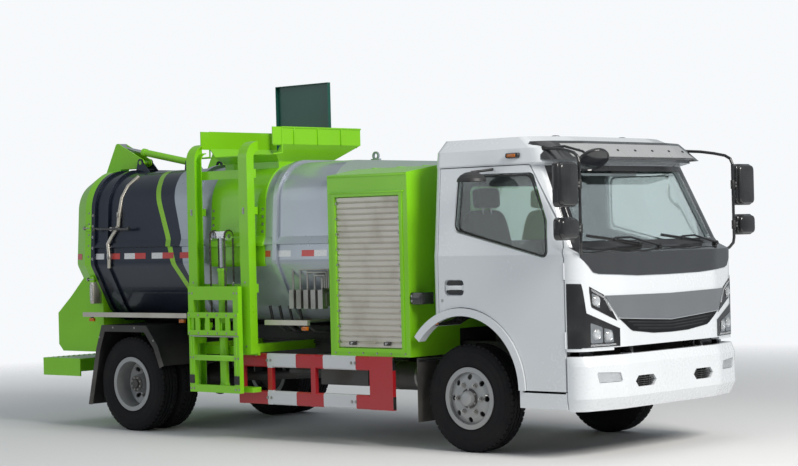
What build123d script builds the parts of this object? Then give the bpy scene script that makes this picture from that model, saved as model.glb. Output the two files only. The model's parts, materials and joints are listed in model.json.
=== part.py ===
"""Side-loading food-waste collection truck: forward-control cab, equipment locker,
hollow tank with a feed hopper, a bin lift on the right side and a hinged tailgate.

Millimetres. X forward, Y left, Z up. Origin on the ground under the middle of the truck.
"""
from build123d import *
from math import atan2, cos, degrees, hypot, radians, sin
import os

os.makedirs("parts", exist_ok=True)

# Fits and gaps
RUN_FIT = 0.05
SEAT_GAP = 0.3
SHUT_GAP = 6.0

# Wheels and track
WHEELBASE = 3700.0
FRONT_AXLE_X = 1880.0
REAR_AXLE_X = FRONT_AXLE_X - WHEELBASE
TYRE_R = 402.5
TYRE_WIDTH = 205.0
BEAD_R = 203.0
FLANGE_R = 231.0
FLANGE_T = 8.0
RIM_HALF = 84.0
RIM_WALL = 8.0
FRONT_WHEEL_Y = 840.0
DUAL_SPACING = 240.0
REAR_OUTER_Y = 935.0
REAR_INNER_Y = REAR_OUTER_Y - DUAL_SPACING
REAR_MATE_Y = (REAR_OUTER_Y + REAR_INNER_Y) / 2
SPINDLE_R = 35.0
REAR_SPINDLE_R = 45.0
HAND_HOLE_R = 21.0
HAND_HOLES = 8
HAND_HOLE_PITCH_R = 158.0

# Front axle, knuckles and tie rod
KING_PIN_Y = 690.0
KING_PIN_R = 18.0
KING_BOSS_R = 45.0
BEAM_WIDTH = 80.0
BEAM_HEIGHT = 90.0
BEAM_WEB = 24.0
BEAM_FLANGE = 20.0
BEAM_TOP_Z = 425.0
LUG_T = 34.0
KNUCKLE_HALF_X = 58.0
ARM_LENGTH = 150.0
ARM_T = 16.0
TIE_ROD_R = 12.0
TIE_END_R = 20.0
TIE_END_H = 26.0

# Rear axle and driveline
AXLE_TUBE_R = 60.0
DIFF_R = 165.0
DRUM_R = 170.0
SHAFT_R = 38.0
ENGINE_SIZE = (800.0, 520.0, 490.0)
ENGINE_FRONT_X = 2400.0
ENGINE_BOTTOM_Z = 505.0
GEARBOX_SIZE = (620.0, 300.0, 300.0)
GEARBOX_DROP = 40.0

# Springs
SPRING_WIDTH = 70.0
SPRING_LEAF = 12.0
FRONT_SPRING_HALF = 590.0
REAR_SPRING_HALF = 440.0
SPRING_ARCH = 70.0
HANGER_DROP = 100.0
FRONT_SPRING_Y = 420.0
REAR_SPRING_Y = 430.0

# Ladder frame and subframe
RAIL_OUTER_Y = 380.0
RAIL_HEIGHT = 200.0
RAIL_BOTTOM_Z = 590.0
RAIL_FLANGE = 65.0
RAIL_T = 8.0
RAIL_FRONT_X = 2890.0
RAIL_REAR_X = -2312.0
RAIL_TOP_Z = RAIL_BOTTOM_Z + RAIL_HEIGHT
CROSS_T = 60.0
CROSS_HEIGHT = 150.0
CROSS_XS = (-2290.0, -1150.0, -700.0, 150.0, 900.0, 2600.0)
SUBFRAME_HEIGHT = 100.0
SUBFRAME_FRONT_X = 1340.0
SUBFRAME_TOP_Z = RAIL_TOP_Z + SUBFRAME_HEIGHT

# Cab body
CAB_BACK_X = 1600.0
CAB_FRONT_X = 3045.0
CAB_HALF = 1000.0
CAB_BOTTOM_Z = 360.0
BELT_Z = 1500.0
JOINT_Z = 2125.0
ROOF_Z = 2320.0
CAB_WALL = 60.0
CAB_BOW = 90.0
CAB_CORNER_R = 140.0
CAB_REAR_R = 60.0
FLOOR_Z = 860.0
FLOOR_T = 50.0
PLATFORM_Z = 1085.0
PLATFORM_FRONT_X = 2440.0
HINGE_X = 2960.0
HINGE_Z = 560.0
TILT_TUBE_R = 18.0
ARCH_X = 1884.0
ARCH_Z = 485.0
ARCH_R = 532.0
FLARE_WIDTH = 58.0
FLARE_PROUD = 16.0
STEP_Z = 470.0
STEP_INNER_Y = 700.0

# Doors
DOOR_REAR_X = 1668.0
DOOR_FRONT_X = 2832.0
DOOR_BOTTOM_Z = 486.0
DOOR_TOP_Z = 2108.0
DOOR_HINGE_X = DOOR_FRONT_X + SHUT_GAP
DOOR_KNUCKLE_R = 5.5
DOOR_PIN_R = 3.0
GLASS_T = 6.0
GLASS_INSET = 18.0

# Bumper
BUMPER_FRONT_X = 3080.0
BUMPER_BOTTOM_Z = 345.0
BUMPER_TOP_Z = 735.0
BUMPER_HALF = 1003.0
BUMPER_REAR_X = 2850.0
BUMPER_WALL = 45.0
BUMPER_HANGER_Y = 440.0
BUMPER_HANGER_T = 20.0

# Mirrors
MIRROR_X = 2985.0
MIRROR_REACH = 1250.0
MIRROR_WIDTH = 220.0
MIRROR_DEPTH = 75.0
MIRROR_ARM_R = 10.0
KERB_MIRROR = (2110.0, -1116.0, 2000.0)
KERB_MIRROR_R = 110.0

# Equipment locker
LOCKER_REAR_X = 550.0
LOCKER_FRONT_X = 1380.0
LOCKER_HALF = 1010.0
LOCKER_BOTTOM_Z = 700.0
LOCKER_EAVE_Z = 2100.0
LOCKER_TOP_Z = 2154.0
LOCKER_RIDGE_Y = 650.0
LOCKER_WALL = 30.0
LOCKER_NOTCH_Y = 430.0
LOCKER_NOTCH_Z = SUBFRAME_TOP_Z + SEAT_GAP
SHUTTER_REAR_X = 630.0
SHUTTER_FRONT_X = 1300.0
SHUTTER_BOTTOM_Z = 760.0
SHUTTER_TOP_Z = 1930.0
SLAT_PITCH = 45.0
SLAT_DEPTH = 6.0

# Tank
TANK_REAR_X = -2320.0
TANK_TOP_Z = 2230.0
TANK_TOP_HALF = 965.0
TANK_TOP_R = 330.0
TANK_KNUCKLE_HALF = 1010.0
TANK_KNUCKLE_Z = 1430.0
TANK_KNUCKLE_R = 80.0
TANK_BOTTOM_HALF = 760.0
TANK_BOTTOM_Z = 950.0
TANK_BOTTOM_R = 250.0
TANK_WALL = 12.0
RIB_XS = (-2320.0, -2140.0, -1045.0, -60.0)
RIB_WIDTH = 45.0
RIB_PROUD = 22.0
LEDGE_LOW_Z = 1565.0
LEDGE_HIGH_Z = 1636.0
LEDGE_PROUD = 16.0
CRADLE_T = 30.0

# Hopper, saddle and lid
HOPPER_X = (-904.0, -50.0)
HOPPER_Y = (-1000.0, 30.0)
HOPPER_BAND_Z = 2380.0
HOPPER_TOP_Z = 2520.0
NECK_X = (-790.0, -160.0)
NECK_Y = (-830.0, -212.0)
NECK_TOP_Z = 2245.0
HOPPER_WALL = 8.0
HOPPER_SILL_Z = 2300.0
SADDLE_T = 12.0
SADDLE_LOW_Z = 1400.0
LID_HINGE_Y = -200.0
LID_HINGE_Z = 2286.0
LID_TOP_Z = 2910.0
LID_T = 5.0
LID_CLEAR = 6.0
LID_RIM = 28.0
LID_TUBE_R = 11.0
LID_PIN_R = 6.0
LID_EYE_R = 14.0

# Bin lift
LIFT_RAIL_X = ((-930.0, -830.0), (-315.0, -215.0))
LIFT_RAIL_Y = (-1140.0, -1060.0)
LIFT_FEET_Z = (380.0, 700.0)
LIFT_TOP_Z = 2410.0
RAIL_WALL = 10.0
CHANNEL_DEPTH = 50.0
LIFT_TRAVEL = 1050.0
LIFT_BARREL_R = 36.0
LIFT_ROD_R = 20.0
LIFT_BARREL_Z = (430.0, 1380.0)
CROSSHEAD_Z = 1650.0
SPROCKET_R = 40.0
SPROCKET_T = 14.0
CHAIN_OFFSET_X = 85.0
CHAIN_T = 14.0
CHAIN_ANCHOR_Z = 1225.0
CARRIAGE_CHAIN_Z = 950.0
CARRIAGE_X = (-868.0, -277.0)
CARRIAGE_Y = (-1225.0, -1170.0)
CARRIAGE_Z = (385.0, 1245.0)
ROLLER_R = 29.7
OUTRIGGER_H = 70.0
OUTRIGGER_Z = 706.0

# Tailgate
GATE_DOME_X = -2720.0
SUMP_REAR_X = -2950.0
SUMP_BOTTOM_Z = 660.0
SUMP_HALF = 900.0
GATE_WALL = 12.0
GATE_PIVOT = (-2060.0, 2315.0)
GATE_LEVER = (-2370.0, 2462.0)
GATE_ANCHOR = (-1450.0, 2290.0)
GATE_CYLINDER_Y = 600.0
GATE_PLATE_T = 12.0
GATE_BARREL_R = 30.0
GATE_ROD_R = 16.0
GATE_EYE_R = 34.0
GATE_PIN_R = 18.0
GATE_BARREL_LENGTH = 640.0
GATE_FORK = 37.0

# Guards, rails and rear end
GUARD_REAR_X = -490.0
GUARD_FRONT_X = 1200.0
GUARD_Y = 1020.0
GUARD_T = 35.0
GUARD_RAILS_Z = ((290.0, 400.0), (590.0, 700.0))
GUARD_ARM_XS = (-140.0, 790.0)
MUDGUARD_T = 8.0
MUDGUARD_Y = (575.0, 1050.0)
STEP_REAR_X = -3080.0
STEP_FRONT_X = -2565.0
STEP_TOP_Z = 600.0
STEP_BOTTOM_Z = 445.0
STEP_HALF = 980.0
MARKER_Y = 1045.0


def flat(points, radius=0.0):
    """Closed planar face through 3-D points, its corners rounded by one or more radii."""
    if radius:
        return make_face(FilletPolyline(*points, radius=radius, close=True))
    return make_face(Polyline(*points, close=True))


def slab_x(points, x0, x1, radius=0.0):
    """Outline of (y, z) points drawn out from x0 to x1."""
    face = flat([(x0, y, z) for y, z in points], radius)
    return extrude(face, amount=x1 - x0, dir=(1, 0, 0))


def slab_y(points, y0, y1, radius=0.0):
    """Outline of (x, z) points drawn out from y0 to y1."""
    face = flat([(x, y0, z) for x, z in points], radius)
    return extrude(face, amount=y1 - y0, dir=(0, 1, 0))


def slab_z(points, z0, z1, radius=0.0):
    """Outline of (x, y) points drawn out from z0 to z1."""
    face = flat([(x, y, z0) for x, y in points], radius)
    return extrude(face, amount=z1 - z0, dir=(0, 0, 1))


def block(x0, x1, y0, y1, z0, z1):
    """Plain box between two corners."""
    size = (abs(x1 - x0), abs(y1 - y0), abs(z1 - z0))
    return Pos((x0 + x1) / 2, (y0 + y1) / 2, (z0 + z1) / 2) * Box(*size)


def rod(start, end, radius):
    """Round bar between two points."""
    run = Vector(*end) - Vector(*start)
    plane = Plane(origin=start, z_dir=run)
    return plane * extrude(Circle(radius), run.length)


def bar_x(x0, x1, y, z, radius):
    return rod((x0, y, z), (x1, y, z), radius)


def bar_y(x, y0, y1, z, radius):
    return rod((x, y0, z), (x, y1, z), radius)


def bar_z(x, y, z0, z1, radius):
    return rod((x, y, z0), (x, y, z1), radius)


def turned_y(points, x, z, side):
    """Solid turned about the Y line through (x, z) from (outward y, radius) points."""
    face = flat([(x, side * y, z + r) for y, r in points])
    return revolve(face, Axis((x, 0, z), (0, 1, 0)), 360)


def mirrored(shape):
    return mirror(shape, Plane.XZ)


def both(shape):
    return shape + mirrored(shape)


# Wheels

def tyre(x, y, side):
    """One tyre: bead, bulged walls, shoulders and a grooved tread."""
    half = TYRE_WIDTH / 2
    seat = RIM_HALF - 2
    wall = [(seat, BEAD_R), (seat, FLANGE_R + 3), (half * 0.94, FLANGE_R + 32), (half, 312),
            (half * 0.95, 360), (half * 0.74, TYRE_R)]
    section = [(y - u, r) for u, r in wall] + [(y + u, r) for u, r in reversed(wall)]
    return turned_y(section, x, TYRE_R, side)


def rim_barrel(y):
    """Section of a rim's barrel and flanges as (y, radius) points."""
    low = BEAD_R - RIM_WALL
    edge = RIM_HALF + FLANGE_T
    return [(y - edge, low), (y - edge, FLANGE_R), (y - RIM_HALF, FLANGE_R), (y - RIM_HALF, BEAD_R),
            (y + RIM_HALF, BEAD_R), (y + RIM_HALF, FLANGE_R), (y + edge, FLANGE_R), (y + edge, low)]


def hand_holes(x, y0, y1, side):
    holes = None
    for index in range(HAND_HOLES):
        turn = radians(360 / HAND_HOLES * index)
        hole = bar_y(x + HAND_HOLE_PITCH_R * cos(turn), side * y0, side * y1,
                     TYRE_R + HAND_HOLE_PITCH_R * sin(turn), HAND_HOLE_R)
        holes = hole if holes is None else holes + hole
    return holes


def front_rim(side):
    y = FRONT_WHEEL_Y
    low = BEAD_R - RIM_WALL
    disc = [(y + 64, low + 1), (y + 84, 150), (y + 87, 100), (y + 87, 62), (y + 122, 56), (y + 122, 0),
            (y + 100, 0), (y + 100, SPINDLE_R + RUN_FIT), (y - 48, SPINDLE_R + RUN_FIT), (y - 48, 84),
            (y + 50, 84), (y + 72, 112), (y + 72, 148), (y + 50, low + 1)]
    rim = turned_y(rim_barrel(y), FRONT_AXLE_X, TYRE_R, side) + turned_y(disc, FRONT_AXLE_X, TYRE_R, side)
    return rim - hand_holes(FRONT_AXLE_X, y + 40, y + 110, side)


def rear_rims(side):
    """Outer and inner rim of a dual wheel, bolted face to face on one hub."""
    low = BEAD_R - RIM_WALL
    mate = REAR_MATE_Y
    bore = REAR_SPINDLE_R + RUN_FIT
    hub = [(mate - 150, bore), (mate - 150, 95), (mate - 12, 112), (mate + 12, 112), (mate + 40, 92),
           (mate + 150, 72), (mate + 150, 0), (mate + 130, 0), (mate + 130, bore)]
    webs = [(mate - 12, 110), (mate - 62, low + 1), (mate - 50, low + 1), (mate - 6, 140), (mate, 142),
            (mate + 6, 140), (mate + 50, low + 1), (mate + 62, low + 1), (mate + 12, 110)]
    rim = turned_y(hub, REAR_AXLE_X, TYRE_R, side) + turned_y(webs, REAR_AXLE_X, TYRE_R, side)
    for y in (REAR_OUTER_Y, REAR_INNER_Y):
        rim += turned_y(rim_barrel(y), REAR_AXLE_X, TYRE_R, side)
    return rim - hand_holes(REAR_AXLE_X, mate - 70, mate + 70, side)


# Axles, knuckles and steering

def front_beam():
    """Forged I-beam with king-pin bosses and spring pads."""
    low = BEAM_TOP_Z - BEAM_HEIGHT
    half = BEAM_WIDTH / 2
    x = FRONT_AXLE_X
    beam = block(x - half, x + half, -KING_PIN_Y, KING_PIN_Y, low, BEAM_TOP_Z)
    pocket = block(x + BEAM_WEB / 2, x + half, -KING_PIN_Y + 120, KING_PIN_Y - 120,
                   low + BEAM_FLANGE, BEAM_TOP_Z - BEAM_FLANGE)
    beam -= pocket
    beam -= mirror(pocket, Plane.YZ.offset(x))
    boss = bar_z(x, KING_PIN_Y, low, BEAM_TOP_Z, KING_BOSS_R)
    pad = block(x - 60, x + 60, FRONT_SPRING_Y - 45, FRONT_SPRING_Y + 45, BEAM_TOP_Z, BEAM_TOP_Z + 15)
    beam += both(boss) + both(pad)
    return beam - both(bar_z(x, KING_PIN_Y, low - 10, BEAM_TOP_Z + 10, KING_PIN_R + RUN_FIT))


def knuckle(side):
    """Knuckle: two lugs over and under the axle boss, king pin, spindle and steering arm."""
    x = FRONT_AXLE_X
    low = BEAM_TOP_Z - BEAM_HEIGHT - SEAT_GAP
    high = BEAM_TOP_Z + SEAT_GAP
    y = KING_PIN_Y
    body_y = y + KING_BOSS_R + 6
    hub_y = FRONT_WHEEL_Y - 48 - 8
    shape = bar_z(x, y, low - LUG_T, low, KING_BOSS_R - 4) + bar_z(x, y, high, high + LUG_T, KING_BOSS_R - 4)
    shape += block(x - 40, x + 40, y, hub_y, low - LUG_T, low)
    shape += block(x - 40, x + 40, y, hub_y, high, high + LUG_T)
    shape += block(x - KNUCKLE_HALF_X, x + KNUCKLE_HALF_X, body_y, hub_y, low - LUG_T, high + LUG_T)
    shape += bar_z(x, y, low - LUG_T, high + LUG_T, KING_PIN_R)
    shape += bar_y(x, hub_y - 10, FRONT_WHEEL_Y + 92, TYRE_R, SPINDLE_R)
    shape += bar_y(x, hub_y - 8, hub_y, TYRE_R, DRUM_R)
    shape += block(x - ARM_LENGTH - 18, x, y - 20, y + 20, low - LUG_T, low - LUG_T + ARM_T)
    return shape if side > 0 else mirrored(shape)


def tie_rod():
    top = BEAM_TOP_Z - BEAM_HEIGHT - SEAT_GAP - LUG_T - SEAT_GAP
    x = FRONT_AXLE_X - ARM_LENGTH
    ends = both(bar_z(x, KING_PIN_Y, top - TIE_END_H, top, TIE_END_R))
    return ends + bar_y(x, -KING_PIN_Y, KING_PIN_Y, top - TIE_END_H / 2, TIE_ROD_R)


def rear_axle():
    """Banjo housing, tubes, spring pads, drums' back plates and spindles."""
    x = REAR_AXLE_X
    housing = revolve(flat([(x, 0, TYRE_R), (x + DIFF_R, 0, TYRE_R), (x + DIFF_R * 0.8, 80, TYRE_R),
                            (x + AXLE_TUBE_R, 170, TYRE_R), (x, 170, TYRE_R)]),
                      Axis((x, 0, TYRE_R), (0, 1, 0)), 360)
    shape = both(housing)
    shape += bar_x(x + DIFF_R - 60, x + DIFF_R + 90, 0, TYRE_R, 70)
    plate_y = REAR_MATE_Y - 150 - 8
    shape += both(bar_y(x, 150, plate_y, TYRE_R, AXLE_TUBE_R))
    shape += both(bar_y(x, plate_y - 8, plate_y, TYRE_R, DRUM_R))
    shape += both(bar_y(x, plate_y - 20, REAR_MATE_Y + 120, TYRE_R, REAR_SPINDLE_R))
    pad_z = TYRE_R + AXLE_TUBE_R
    shape += both(block(x - 60, x + 60, REAR_SPRING_Y - 45, REAR_SPRING_Y + 45, TYRE_R, pad_z + 10))
    return shape


def leaf_spring(x, y, seat_z, half):
    """Pack of leaves, arched, with hangers up to the chassis rail."""
    leaves = 5
    shape = None
    for index in range(leaves):
        reach = half * (1 - 0.17 * index)
        rise = SPRING_ARCH * (reach / half) ** 2
        low = SPRING_LEAF * (leaves - 1 - index)
        z = seat_z + low
        pts_low = [(x - reach, z + rise), (x - reach / 2, z + rise / 4), (x, z), (x + reach / 2, z + rise / 4),
                   (x + reach, z + rise)]
        pts_high = [(px, pz + SPRING_LEAF) for px, pz in reversed(pts_low)]
        leaf = slab_y(pts_low + pts_high, y - SPRING_WIDTH / 2, y + SPRING_WIDTH / 2)
        shape = leaf if shape is None else shape + leaf
    stack = seat_z + SPRING_LEAF * leaves
    shape += block(x - 45, x + 45, y - 42, y + 42, seat_z, stack + 14)
    eye_z = stack + SPRING_ARCH
    for end in (x - half, x + half):
        shape += bar_y(end, y - SPRING_WIDTH / 2, y + SPRING_WIDTH / 2, eye_z, 24)
    return shape


def spring_hanger(x, y, eye_z):
    """Bracket on the rail's web that holds a spring's eye."""
    side = 1 if y > 0 else -1
    inner = side * RAIL_OUTER_Y
    outer = y + side * (SPRING_WIDTH / 2 + 8 + SEAT_GAP)
    top_z = RAIL_TOP_Z - HANGER_DROP
    cheek = slab_y([(x - 30, eye_z - 34), (x + 30, eye_z - 34), (x + 50, top_z),
                    (x - 50, top_z)], min(outer - side * 8, outer), max(outer - side * 8, outer))
    top = block(x - 50, x + 50, inner, outer, top_z - 8, top_z)
    return cheek + top


def driveline():
    """Plain engine block with gearbox, and the shaft back to the rear axle."""
    length, width, height = ENGINE_SIZE
    box_l, box_w, box_h = GEARBOX_SIZE
    x0 = ENGINE_FRONT_X - length
    z0 = ENGINE_BOTTOM_Z
    shape = block(x0, ENGINE_FRONT_X, -width / 2, width / 2, z0, z0 + height)
    shape += block(x0 - box_l, x0, -box_w / 2, box_w / 2, z0 - GEARBOX_DROP, z0 - GEARBOX_DROP + box_h)
    start = (x0 - box_l, 0, z0 + SHAFT_R)
    end = (REAR_AXLE_X + DIFF_R + 90 + SEAT_GAP, 0, TYRE_R)
    return shape + rod(start, end, SHAFT_R) - block(REAR_AXLE_X, end[0], -90, 90, 300, 500)


# Chassis

def channel_rail(x0, x1):
    """C-section side rail, open towards the middle."""
    y = RAIL_OUTER_Y
    t = RAIL_T
    z0 = RAIL_BOTTOM_Z
    z1 = RAIL_TOP_Z
    inner = y - RAIL_FLANGE
    return slab_x([(y, z0), (y, z1), (inner, z1), (inner, z1 - t), (y - t, z1 - t), (y - t, z0 + t),
                   (inner, z0 + t), (inner, z0)], x0, x1)


def cross_member(x):
    web = RAIL_OUTER_Y - RAIL_T
    z0 = RAIL_BOTTOM_Z + RAIL_T
    shape = block(x, x + CROSS_T, -web, web, z0, z0 + CROSS_HEIGHT)
    return shape - block(x + RAIL_T, x + CROSS_T, -web, web, z0 + RAIL_T, z0 + CROSS_HEIGHT - RAIL_T)


def ladder_frame():
    """Two side rails, cross members, spring hangers, cab hinge plates and lift outriggers."""
    shape = both(channel_rail(RAIL_REAR_X, RAIL_FRONT_X))
    for x in CROSS_XS:
        shape += cross_member(x)
    for axle_x, y, seat, half in spring_places():
        eye_z = seat + SPRING_LEAF * 5 + SPRING_ARCH
        for x in (axle_x - half, axle_x + half):
            shape += both(spring_hanger(x, y, eye_z))
    cheek = slab_y([(RAIL_FRONT_X - 90, RAIL_BOTTOM_Z + 90), (RAIL_FRONT_X - 90, RAIL_BOTTOM_Z),
                    (HINGE_X - 20, HINGE_Z - 40), (HINGE_X + 35, HINGE_Z - 15), (HINGE_X + 35, HINGE_Z + 35),
                    (RAIL_FRONT_X, RAIL_BOTTOM_Z + 90)],
                   RAIL_OUTER_Y - RAIL_T - 20, RAIL_OUTER_Y - RAIL_T)
    hole = bar_y(HINGE_X, -RAIL_OUTER_Y, RAIL_OUTER_Y, HINGE_Z, TILT_TUBE_R + RUN_FIT)
    return shape + both(cheek) - hole


def front_seat_z():
    return BEAM_TOP_Z + 15


def rear_seat_z():
    return TYRE_R + AXLE_TUBE_R + 10


def spring_places():
    """Axle x, spring y, seat height and half length of each spring pair."""
    return ((FRONT_AXLE_X, FRONT_SPRING_Y, front_seat_z(), FRONT_SPRING_HALF),
            (REAR_AXLE_X, REAR_SPRING_Y, rear_seat_z(), REAR_SPRING_HALF))


def springs():
    shape = None
    for x, y, seat, half in spring_places():
        pair = both(leaf_spring(x, y, seat, half))
        shape = pair if shape is None else shape + pair
    return shape


def fuel_tank():
    """Fuel tank with its straps on the left rail."""
    y0 = RAIL_OUTER_Y + SEAT_GAP
    body = slab_x([(y0, 400), (900, 400), (900, 710), (y0, 710)], -100, 520, 45)
    for x in (0, 380):
        body += slab_x([(y0, 394), (906, 394), (906, 716), (y0, 716)], x, x + 40, 48)
    cap = bar_z(460, 800, 700, 736, 38)
    return body + cap


def air_tank():
    """Air reservoirs and battery box on the right rail."""
    y0 = -RAIL_OUTER_Y - SEAT_GAP
    shape = block(250, 760, -820, y0, 450, 690)
    return shape + bar_x(820, 1180, -560, 520, 110) + block(900, 960, -560, y0, 560, 640)


# Cab

def cab_section(z, front_x, half, inset):
    """Horizontal section of the cab: bowed front, rounded corners."""
    x0 = CAB_BACK_X + inset
    x1 = front_x - inset
    h = half - inset
    corner = CAB_CORNER_R - inset * 0.8
    rear = max(CAB_REAR_R - inset * 0.8, 12)
    points = [(x0, -h, z), (x1 - CAB_BOW, -h, z), (x1, -0.6 * h, z), (x1, 0.6 * h, z), (x1 - CAB_BOW, h, z),
              (x0, h, z)]
    return flat(points, [rear, corner, 260, 260, corner, rear])


def cab_body(inset, low_z):
    """Cab volume at an inset from its outer skin: lower box, greenhouse and roof."""
    sections = ((BELT_Z - 40, CAB_FRONT_X, CAB_HALF), (BELT_Z + 10, CAB_FRONT_X - 105, CAB_HALF - 6),
                (JOINT_Z - 20, 2655.0, 942.0), (JOINT_Z, 2750.0, 946.0), (ROOF_Z - 90, 2700.0, 930.0),
                (ROOF_Z, 2520.0, 830.0))
    lower = extrude(cab_section(low_z, CAB_FRONT_X, CAB_HALF, inset), amount=BELT_Z - 40 - low_z, dir=(0, 0, 1))
    faces = []
    for index, (z, front_x, half) in enumerate(sections):
        top = z - inset if index == len(sections) - 1 else z
        faces.append(cab_section(top, front_x, half, inset))
    for a, b in zip(faces, faces[1:]):
        lower += loft([a, b], ruled=True)
    return lower


def door_prism(grow, y0, y1):
    """Door outline drawn out along Y, grown by a gap: straight edges, A-pillar slope and wheel arch."""
    front = DOOR_FRONT_X + 2 * grow
    bottom = DOOR_BOTTOM_Z - grow
    rear = DOOR_REAR_X - grow
    points = [(rear, DOOR_TOP_Z + grow), (2500 + grow, DOOR_TOP_Z + grow), (front - 60, 1640 + grow), (front, 1430),
              (front, bottom), (ARCH_X, bottom), (rear, ARCH_Z + ARCH_R)]
    reach = ARCH_R + FLARE_WIDTH + 5 - grow
    return slab_y(points, y0, y1) - bar_y(ARCH_X, y0 - 1, y1 + 1, ARCH_Z, reach)


def window_outline():
    return [(1812, 1638), (1836, 2059), (2535, 2053), (2680, 1700), (2702, 1425)]


def cab_shell(outer, inner):
    """Hollow cab: floor, seat platform, wheel arches, step wells, window and door openings."""
    shell = outer - (inner & block(PLATFORM_FRONT_X, 3200, -1100, 1100, FLOOR_Z, 2400))
    shell -= inner & block(1500, PLATFORM_FRONT_X + 1, -1100, 1100, PLATFORM_Z, 2400)
    arch_cut = bar_y(ARCH_X, 400, 1100, ARCH_Z, ARCH_R)
    shell -= both(arch_cut)
    shell -= block(1500, ARCH_X + ARCH_R, -1100, 1100, 300, ARCH_Z)
    shell -= block(1500, PLATFORM_FRONT_X - 30, -STEP_INNER_Y + 20, STEP_INNER_Y - 20, 300, PLATFORM_Z - FLOOR_T)
    shell -= block(1500, 3200, -STEP_INNER_Y + 20, STEP_INNER_Y - 20, 300, FLOOR_Z - FLOOR_T)
    well = block(PLATFORM_FRONT_X, DOOR_FRONT_X, STEP_INNER_Y, CAB_HALF + 50, STEP_Z, FLOOR_Z + 5)
    shell -= both(well)
    nose = block(DOOR_FRONT_X + 10, 3200, -1100, 1100, 300, 770)
    shell -= nose
    shell -= both(door_prism(SHUT_GAP, 850, 1100))
    screen = slab_x([(-850, 1530), (-790, 2080), (790, 2080), (850, 1530)], 2500, 3200, 50)
    rear_window = slab_x([(-600, 1560), (-600, 1980), (600, 1980), (600, 1560)], 1500, 1760, 60)
    shell -= screen
    shell -= rear_window
    return shell


def hinge_knuckles(z, on_door):
    """Door hinge at height z: the door's middle knuckle, or the cab's two with their pin."""
    x = DOOR_HINGE_X
    y = CAB_HALF
    if on_door:
        leaf = block(DOOR_FRONT_X - 2, x, y - 5.5, y - 2, z - 30, z + 30)
        shape = bar_z(x, y, z - 30, z + 30, DOOR_KNUCKLE_R) + leaf
        return shape - bar_z(x, y, z - 40, z + 40, DOOR_PIN_R + RUN_FIT)
    shape = bar_z(x, y, z - 60, z + 60, DOOR_PIN_R)
    for low, high in ((z - 60, z - 30 - SEAT_GAP), (z + 30 + SEAT_GAP, z + 60)):
        shape += bar_z(x, y, low, high, DOOR_KNUCKLE_R)
        shape += block(x, x + SHUT_GAP + 2, y - 5.5, y - 2, low, high)
    return shape


HINGE_HEIGHTS = (850.0, 1340.0)


def door(outer, inner):
    """Left door: outer skin to inner panel, window cut, handle recess, hinge knuckles."""
    panel = (outer & door_prism(0.0, 870, 1100)) - inner
    panel -= slab_y(window_outline(), 700, 1100, 45)
    panel -= slab_y([(1720, 1165), (1720, 1285), (1910, 1285), (1910, 1165)], CAB_HALF - 25, CAB_HALF + 20, 35)
    panel += block(1740, 1900, CAB_HALF - 24, CAB_HALF - 6, 1212, 1238)
    panel += block(1730, 1745, CAB_HALF - 40, CAB_HALF - 6, 1205, 1245)
    panel += block(1890, 1905, CAB_HALF - 40, CAB_HALF - 6, 1205, 1245)
    for z in HINGE_HEIGHTS:
        panel += hinge_knuckles(z, True)
    return panel


def door_glass(skin_out, skin_in):
    return (skin_out & slab_y(window_outline(), 700, 1100, 45)) - skin_in


def screens(skin_out, skin_in):
    """Windscreen and rear window, let into the cab's wall."""
    screen = slab_x([(-850, 1530), (-790, 2080), (790, 2080), (850, 1530)], 2500, 3200, 50)
    rear = slab_x([(-600, 1560), (-600, 1980), (600, 1980), (600, 1560)], 1500, 1760, 60)
    return ((skin_out & screen) - skin_in) + ((skin_out & rear) - skin_in)


def flare():
    """Wheel-arch moulding over the front wheel, a band about the arch's centre."""
    turn_rear = radians(141)
    ring = bar_y(ARCH_X, CAB_HALF + SEAT_GAP - 60, CAB_HALF + FLARE_PROUD, ARCH_Z, ARCH_R + FLARE_WIDTH)
    ring -= bar_y(ARCH_X, 900, 1100, ARCH_Z, ARCH_R)
    reach = 900
    keep = slab_y([(ARCH_X, ARCH_Z), (ARCH_X + reach, ARCH_Z), (ARCH_X + reach, ARCH_Z + reach),
                   (ARCH_X - reach, ARCH_Z + reach),
                   (ARCH_X + reach * cos(turn_rear), ARCH_Z + reach * sin(turn_rear))], 900, 1100)
    return ring & keep


def front_bumper():
    """Wrapped bumper with a rounded nose, fog-lamp recesses and two hexagonal vents."""
    rows = ((BUMPER_BOTTOM_Z, 45.0, 15.0), (BUMPER_BOTTOM_Z + 90, 0.0, 0.0), (BUMPER_TOP_Z - 70, 0.0, 0.0),
            (BUMPER_TOP_Z, 30.0, 0.0))
    faces = [bumper_section(z, back, side, 0.0) for z, back, side in rows]
    holes = [bumper_section(z, back, side, BUMPER_WALL) for z, back, side in rows]
    shape = None
    cavity = None
    for index in range(len(rows) - 1):
        piece = loft([faces[index], faces[index + 1]], ruled=True)
        hollow = loft([holes[index], holes[index + 1]], ruled=True)
        shape = piece if shape is None else shape + piece
        cavity = hollow if cavity is None else cavity + hollow
    shape -= cavity
    shape &= block(BUMPER_REAR_X, 3200, -1100, 1100, 300, 800)
    vent = slab_x([(240, 535), (275, 575), (465, 575), (500, 535), (465, 495), (275, 495)], 3000, 3200)
    fog = slab_x([(640, 545), (660, 610), (880, 622), (860, 545)], 2960, 3200, 12)
    seat_z = FLOOR_Z - FLOOR_T - SEAT_GAP
    hanger = slab_y([(2940, 640), (3045, 640), (3042, 690), (2990, seat_z), (2910, seat_z)],
                    BUMPER_HANGER_Y, BUMPER_HANGER_Y + BUMPER_HANGER_T)
    return shape - both(vent) - both(fog) + both(hanger)


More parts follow.
